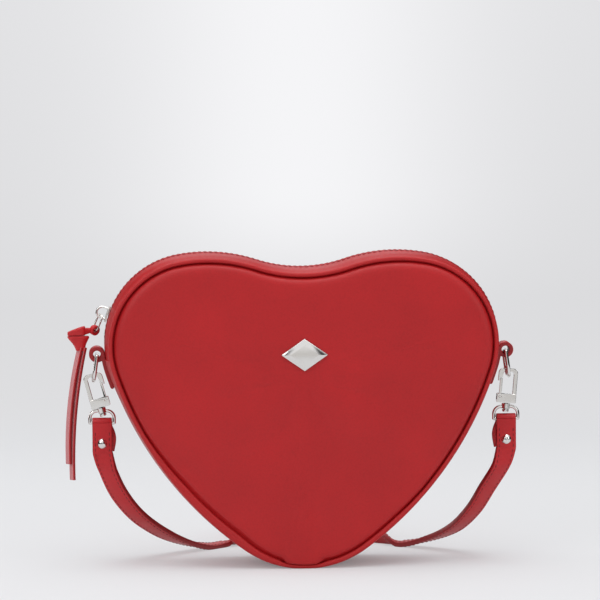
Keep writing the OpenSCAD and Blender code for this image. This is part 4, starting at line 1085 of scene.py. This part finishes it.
class HeartBagSizes(bpy.types.PropertyGroup):
    """Sizes of the dressed details, in millimetres"""
    step: millimetres("Mesh step", "Spacing of mesh points round the bag (mm)", 2.0, 1.0, 5.0)
    grain: millimetres("Leather grain", "Drawn size of one grain cell (mm)", 0.9, 0.3, 3.0)
    crease: millimetres("Tip creases", "Depth of the two creases at the tip (mm)", 0.9, 0.0, 2.0)
    pressure: millimetres("Panel fullness", "Air pressure that swells the draped panels", 1.2, 0.0, 6.0)
    cap: millimetres("Panel swell limit", "Furthest a draped point may move (mm)", 1.0, 0.0, 3.0)
    stitch: millimetres("Stitch length", "Length of one stitch (mm)", 2.1, 1.0, 4.0)
    stitch_pitch: millimetres("Stitch pitch", "Distance from stitch to stitch (mm)", 3.0, 1.5, 6.0)
    thread: millimetres("Thread", "Drawn thickness of the sewing thread (mm)", 0.5, 0.3, 1.0)
    tooth_pitch: millimetres("Tooth pitch", "Distance from zip tooth to zip tooth (mm)", 2.1, 1.0, 3.0)


class HeartBagColours(bpy.types.PropertyGroup):
    """Colours of the bag's materials and of the studio"""
    leather: colour("Bag leather", "Colour of the body leather", "#B0161A")
    strap: colour("Strap leather", "Colour of the strap and pull leather", "#BC1E24")
    edge: colour("Edge paint", "Colour of the painted edges", "#A0151B")
    # Pale flesh colour, which on the pull tails also stands for a painted highlight
    flesh: colour("Flesh side and painted highlight", "Colour of the leather's bare back", "#C27A7C")
    zip: colour("Zip", "Colour of the zip tape and teeth", "#A3171C")
    # The thread is darker than the leather; this darkness also stands for painted shade in the stitch holes
    thread: colour("Thread", "Colour of the sewing thread", "#7A1016")
    lining: colour("Lining", "Colour of the lining cloth", "#B79E7E")
    metal: colour("Metal", "Colour of the plated metal", "#E4E2DF")
    floor: colour("Floor", "Colour of the studio floor and backdrop", "#DDDFE1")


# Operators
SIDES = (("front", FRONT), ("back", BACK))


class MakePanels(bpy.types.Operator):
    """Front and back leather panels with their wadding"""
    bl_idname = "heart_bag.panels"
    bl_label = "Leather panels"

    def execute(self, context):
        sizes, kit = context.scene.heart_bag_sizes, finishes(context)
        for name, side in SIDES:
            leather = dress(panel(name + "_leather", side, sizes), kit["Panel calf"])
            settle(leather, "bag", [name + "_panel"])
            pad = dress(wadding(name + "_wadding", side, sizes), kit["Polyester wadding"])
            settle(pad, "bag", [name + "_padding"])
        return {"FINISHED"}


class MakePiping(bpy.types.Operator):
    """Piping between the panels and the gusset"""
    bl_idname = "heart_bag.piping"
    bl_label = "Piping"

    def execute(self, context):
        sizes, kit = context.scene.heart_bag_sizes, finishes(context)
        for name, side in SIDES:
            cord = dress(piping(name + "_welt", side, sizes), kit["Grained calf"])
            settle(cord, "bag", [name + "_piping"])
        return {"FINISHED"}


class MakeGusset(bpy.types.Operator):
    """Gusset round the bag and the two leather facings beside the zip, with their stitches"""
    bl_idname = "heart_bag.gusset"
    bl_label = "Gusset and facings"

    def execute(self, context):
        sizes, kit = context.scene.heart_bag_sizes, finishes(context)
        track = gusset_track(GUSSET_END + 0.15, sizes.step, (TURNED_AT - 0.01, TURNED_AT + 0.01))
        rings = strip_rings(track, -DOME_HALF, DOME_HALF, 0, LEATHER_T, 30, turned_end)
        band = dress(loft("gusset_leather", rings), kit["Grained calf"])
        settle(sharpen(band), "bag", ["gusset"])
        track = zip_track(ZIP_END, sizes.step)
        for name, side in SIDES:
            rings = strip_rings(track, FACING_IN, DOME_HALF, 0, LEATHER_T, 26, facing_lift)
            strip = dress(loft(name + "_facing_leather", facing(rings, side)), kit["Grained calf"])
            settle(sharpen(strip), "bag", [name + "_facing"])
        lines = [zip_line(dome(SEWN_AT) - 0.05, side * SEWN_AT, ZIP_END + 1.5) for side in (FRONT, BACK)]
        settle(stitches("facing_stitches", lines, kit, sizes, 4), "bag")
        return {"FINISHED"}


class MakeZip(bpy.types.Operator):
    """Zip tapes and the two rows of teeth"""
    bl_idname = "heart_bag.zip"
    bl_label = "Zip"

    def execute(self, context):
        sizes, kit = context.scene.heart_bag_sizes, finishes(context)
        for name, side in SIDES:
            rings = strip_rings(zip_track(ZIP_END, sizes.step), TAPE_IN, TAPE_OUT, LEATHER_T, TAPE_T, 4)
            tape = dress(loft(name + "_tape", facing(rings, side)), kit["Zip tape"])
            settle(tape, "bag", [name + "_zip_tape"])
            # The two rows stand half a pitch apart, as meshed teeth do
            apart = math.degrees(sizes.tooth_pitch / 2 / ARCS[LOBE][1]) if side == BACK else 0
            line = zip_line(-1.0, side * TEETH_Y, TEETH_END + apart)
            teeth = beads(name + "_teeth", [line], kit["Nylon teeth"], Pitch=sizes.tooth_pitch * MM,
                          Length=1.5 * MM, Width=2.0 * MM, Height=2.0 * MM, Lean=math.radians(2), Seed=11)
            settle(teeth, "bag", [name + "_zip_coil"])
        return {"FINISHED"}


class MakeInside(bpy.types.Operator):
    """Boards, lining cloth and the flat inside pocket"""
    bl_idname = "heart_bag.inside"
    bl_label = "Inside"

    def execute(self, context):
        sizes, kit = context.scene.heart_bag_sizes, finishes(context)
        for node in ("front_board", "back_board"):
            refinish(node, kit["Pressed fibre board"])
        cloth = kit["Twill lining"]
        # A lining sheet is cut to the board's outline, about 207 by 174 mm, seven tenths of that rectangle
        for name, side in SIDES:
            # The front one lies over the ornament's washers
            y = LINING_Y - (WASHER_T if side == FRONT else 0)
            sheet = dress(cloth_heart(name + "_lining_cloth", BOARD_INSET, y, LINING_T, side, sizes), cloth)
            settle(sheet, "bag", [name + "_lining"])
        track = gusset_track(GUSSET_END, sizes.step)
        rings = strip_rings(track, -LINING_Y, LINING_Y, LEATHER_T + 0.3, LINING_T, 10)
        band = dress(loft("gusset_lining_cloth", rings), cloth)
        settle(sharpen(band), "bag", ["gusset_lining"])
        pocket = dress(self.pocket(), cloth)
        settle(sharpen(pocket), "bag", ["inside_pocket"])
        return {"FINISHED"}

    @staticmethod
    def pocket():
        """Patch pocket on the back lining, slack at its mouth."""
        rows, cols = 14, 22
        rings = []
        for k in range(rows + 1):
            z = POCKET_Z - POCKET_H / 2 + POCKET_H * k / rows
            slack = 0.9 * ease((k / rows - 0.35) / 0.65)
            line = []
            for i in range(cols + 1):
                x = -POCKET_W / 2 + POCKET_W * i / cols
                full = slack * math.sin(math.pi * i / cols) ** 0.7
                line.append(Vector((x, LINING_Y - LINING_T - full, z)))
            rings.append(line + [p + Vector((0, LINING_T, 0)) for p in reversed(line)])
        return loft("pocket_cloth", rings)


class MakeTabs(bpy.types.Operator):
    """Leather tabs that hold the D rings"""
    bl_idname = "heart_bag.tabs"
    bl_label = "Ring tabs"

    def execute(self, context):
        kit = finishes(context)
        for name, side in (("left", -1), ("right", 1)):
            tab = dress(ring_tab(name + "_tab_leather", side), kit["Strap calf"], kit["Edge paint"])
            settle(tab, "bag", [name + "_ring_tab"])
        return {"FINISHED"}


class MakePull(bpy.types.Operator):
    """Knotted leather pull strip on the zip"""
    bl_idname = "heart_bag.pull"
    bl_label = "Pull strip"

    def execute(self, context):
        kit = finishes(context)
        leather, paint = kit["Strap calf"], kit["Edge paint"]
        parts = [dress(part, leather, paint) for part in pull_knot()]
        tails = (("front_tail", PULL_L, 0.2, -1.7), ("back_tail", PULL_L * 1.14, -1.9, -1.3))
        for name, length, shift, y in tails:
            rings, _ = frame_rings(pull_tail(length, shift, y, 57),
                                   lambda thick: block_section(PULL_W, thick, 0.4, 2))
            strip = loft(name, rings, edge_faces=(10, 11, 0, 4, 5, 6))
            # The ninth strip of the section is the flesh side, which the tails turn outwards; its pale colour
            # is also a painted highlight on that face
            strips = len(rings[0])
            for k in range(8, strips * (len(rings) - 1), strips):
                strip.data.polygons[k].material_index = 2
            parts.append(sharpen(dress(strip, leather, paint, kit["Flesh side and painted highlight"]), 60))
        settle(join("pull_leather", parts), "pull_strip", ["pull_strip"])
        return {"FINISHED"}


class MakeStrap(bpy.types.Operator):
    """Flat leather strap with painted edges and its stitches"""
    bl_idname = "heart_bag.strap"
    bl_label = "Strap"

    def execute(self, context):
        sizes, kit = context.scene.heart_bag_sizes, finishes(context)
        stations = strap_stations()
        rings, ups = frame_rings(stations, lambda thick: block_section(STRAP_W, thick, 0.55, 3))
        band = loft("strap_band", rings, edge_faces=(13, 14, 15, 0, 1, 5, 6, 7, 8, 9))
        dress(band, kit["Strap calf"], kit["Edge paint"])
        settle(sharpen(band, 60), "strap", ["strap"])
        # The stitches start below the folded ends
        lines = stitch_rows(ups, stations, STRAP_W / 2 - 1.6, 50, len(stations) - 50)
        settle(stitches("strap_stitches", lines, kit, sizes, 8), "strap")
        return {"FINISHED"}


class FinishMetal(bpy.types.Operator):
    """Polished slider, rings, hooks, screws and ornament"""
    bl_idname = "heart_bag.metal"
    bl_label = "Metalwork"

    def execute(self, context):
        kit = finishes(context)
        # Width of each piece's broken edges; wire and turned pieces have none
        edges = {"zip_slider": 0.18, "ornament": 0.25, "zip_stops": 0.1, "pull_ring": 0, "strap_screws": 0,
                 "strap_screw_nuts": 0, "ornament_washers": 0}
        for side in ("left_", "right_"):
            edges.update({side + "hook": 0.4, side + "gate": 0.25})
            edges.update({side + node: 0 for node in ("d_ring", "swivel_eye", "gate_pin")})
            polish(side + "gate_spring", kit["Spring steel"])
        for node, width in edges.items():
            polish(node, kit["Polished nickel"], width)
        return {"FINISHED"}


class MakeStage(bpy.types.Operator):
    """Pale floor and backdrop, soft lights and the camera"""
    bl_idname = "heart_bag.stage"
    bl_label = "Stage"

    def execute(self, context):
        scene = context.scene
        self.backdrop(scene.heart_bag_colours)
        for row in (("Overhead box", (0.0, -0.15, 1.5), (0.0, 0.0, 0.1), 1.5, 14.0),
                    ("Left box", (-1.35, -1.5, 1.15), (0.0, 0.0, 0.12), 1.1, 9.5),
                    ("Right box", (1.5, -1.3, 0.8), (0.0, 0.0, 0.1), 0.9, 5.5),
                    ("Left rim", (-1.3, 0.55, 0.4), (0.0, 0.0, 0.12), 0.7, 4.0)):
            self.light(*row)
        self.world(scene)
        self.camera(scene)
        scene.view_settings.view_transform = "Standard"
        return {"FINISHED"}

    @staticmethod
    def backdrop(tint):
        """Floor that curves up into a wall behind the bag."""
        bend, start = 600, 2600
        line = [(y, 0) for y in (-3000, -600, -200, 200, 700, 2000)]
        for a in range(0, 91, 6):
            turn = math.radians(a)
            line.append((start + bend * math.sin(turn), bend - bend * math.cos(turn)))
        line += [(start + bend, 1200), (start + bend, 3000)]
        rings = [[Vector((x, y, z)) for x in (-3500, -800, 0, 800, 3500)] for y, z in line]
        board = loft("backdrop", rings, closed=False)
        # An open sheet has no outside, so the face over the floor is turned to look up
        if board.data.polygons[0].normal.z < 0:
            board.data.flip_normals()
        dress(board, new_finish("Painted studio board", studio, tint.floor))

    @staticmethod
    def light(name, place, target, size, power):
        data = bpy.data.lights.new(name, "AREA")
        data.shape, data.size, data.energy = "SQUARE", size, power
        lamp = new_object(name, data)
        lamp.location = place
        lamp.rotation_euler = (Vector(target) - Vector(place)).to_track_quat("-Z", "Y").to_euler()

    @staticmethod
    def world(scene):
        """Even room light; the camera sees a pale wall, and the metal a painted reflection of a card between
        dark flanks.
        """
        scene.world = bpy.data.worlds.new("Pale room")
        tree = empty_tree(scene.world)
        rays = add(tree, "ShaderNodeLightPath")
        way = add(tree, "ShaderNodeTexCoord")["Generated"]
        x, _, z = add(tree, "ShaderNodeSeparateXYZ", {0: way})
        # Painted reflection for the metal only: a pale card in the middle between dark flanks, paler upwards
        flank = add(tree, "ShaderNodeMath", {0: x}, operation="ABSOLUTE")
        card = add(tree, "ShaderNodeMapRange",
                   {"Value": flank[0], "From Min": 0.2, "From Max": 0.3, "To Min": 1.0, "To Max": 0.0})
        high = add(tree, "ShaderNodeMapRange", {"Value": z, "From Min": 0.5, "From Max": 0.66})
        pale = add(tree, "ShaderNodeMath", {0: card[0], 1: high[0]}, operation="MAXIMUM")
        rising = add(tree, "ShaderNodeMapRange", {"Value": z, "From Min": -0.06, "From Max": 0.3})
        bright = add(tree, "ShaderNodeMix", {0: rising[0], 6: linear("#D9D7D5"), 7: linear("#FAFAFC")},
                     data_type="RGBA")
        tone = add(tree, "ShaderNodeMix", {0: pale[0], 6: linear("#2E2C2C"), 7: bright[2]}, data_type="RGBA")
        shiny = add(tree, "ShaderNodeBackground", {"Color": tone[2], "Strength": 1.0})
        room = add(tree, "ShaderNodeBackground", {"Color": linear("#F2F2F4"), "Strength": 0.62})
        wall = add(tree, "ShaderNodeBackground", {"Color": linear("#EDEDEF"), "Strength": 1.0})
        seen = add(tree, "ShaderNodeMath", {0: rays["Is Camera Ray"], 1: rays["Is Transmission Ray"]},
                   operation="MAXIMUM")
        lit = add(tree, "ShaderNodeMixShader", {0: rays["Is Glossy Ray"], 1: room[0], 2: shiny[0]})
        both = add(tree, "ShaderNodeMixShader", {0: seen[0], 1: lit[0], 2: wall[0]})
        add(tree, "ShaderNodeOutputWorld", {"Surface": both[0]})

    @staticmethod
    def camera(scene):
        """Long lens from a little left and above, as in the photograph."""
        turn, rise, roll = (math.radians(a) for a in (-3.2, 4.0, -0.45))
        far, aim = 2.2, Vector((-0.0005, 0.0, 0.1471))
        data = bpy.data.cameras.new("Camera")
        data.sensor_width, data.lens, data.clip_end = 36.0, 236.4, 20.0
        shot = new_object("Camera", data)
        level = math.cos(rise)
        shot.location = aim + far * Vector((math.sin(turn) * level, -math.cos(turn) * level, math.sin(rise)))
        facing_bag = (aim - shot.location).to_track_quat("-Z", "Y").to_matrix()
        shot.rotation_euler = (facing_bag @ Matrix.Rotation(roll, 3, "Z")).to_euler()
        scene.camera = shot


STEPS = (MakeStage, MakePanels, MakePiping, MakeGusset, MakeZip, MakeInside, MakeTabs, MakePull, MakeStrap,
         FinishMetal)


class HeartBagPanel(bpy.types.Panel):
    """Heart bag dresser in the sidebar"""
    bl_idname = "VIEW3D_PT_heart_bag"
    bl_label = "Heart Bag"
    bl_space_type = "VIEW_3D"
    bl_region_type = "UI"
    bl_category = "Heart Bag"

    def draw(self, context):
        for group in (context.scene.heart_bag_sizes, context.scene.heart_bag_colours):
            for key in group.__annotations__:
                self.layout.prop(group, key)
        for step in STEPS:
            self.layout.operator(step.bl_idname)


CLASSES = (HeartBagSizes, HeartBagColours) + STEPS + (HeartBagPanel,)


def register():
    for item in CLASSES:
        bpy.utils.register_class(item)
    bpy.types.Scene.heart_bag_sizes = bpy.props.PointerProperty(type=HeartBagSizes)
    bpy.types.Scene.heart_bag_colours = bpy.props.PointerProperty(type=HeartBagColours)


def unregister():
    del bpy.types.Scene.heart_bag_colours
    del bpy.types.Scene.heart_bag_sizes
    for item in reversed(CLASSES):
        bpy.utils.unregister_class(item)


def main():
    register()
    for step in STEPS:
        group, name = step.bl_idname.split(".")
        getattr(getattr(bpy.ops, group), name)()


if __name__ == "__main__":
    main()
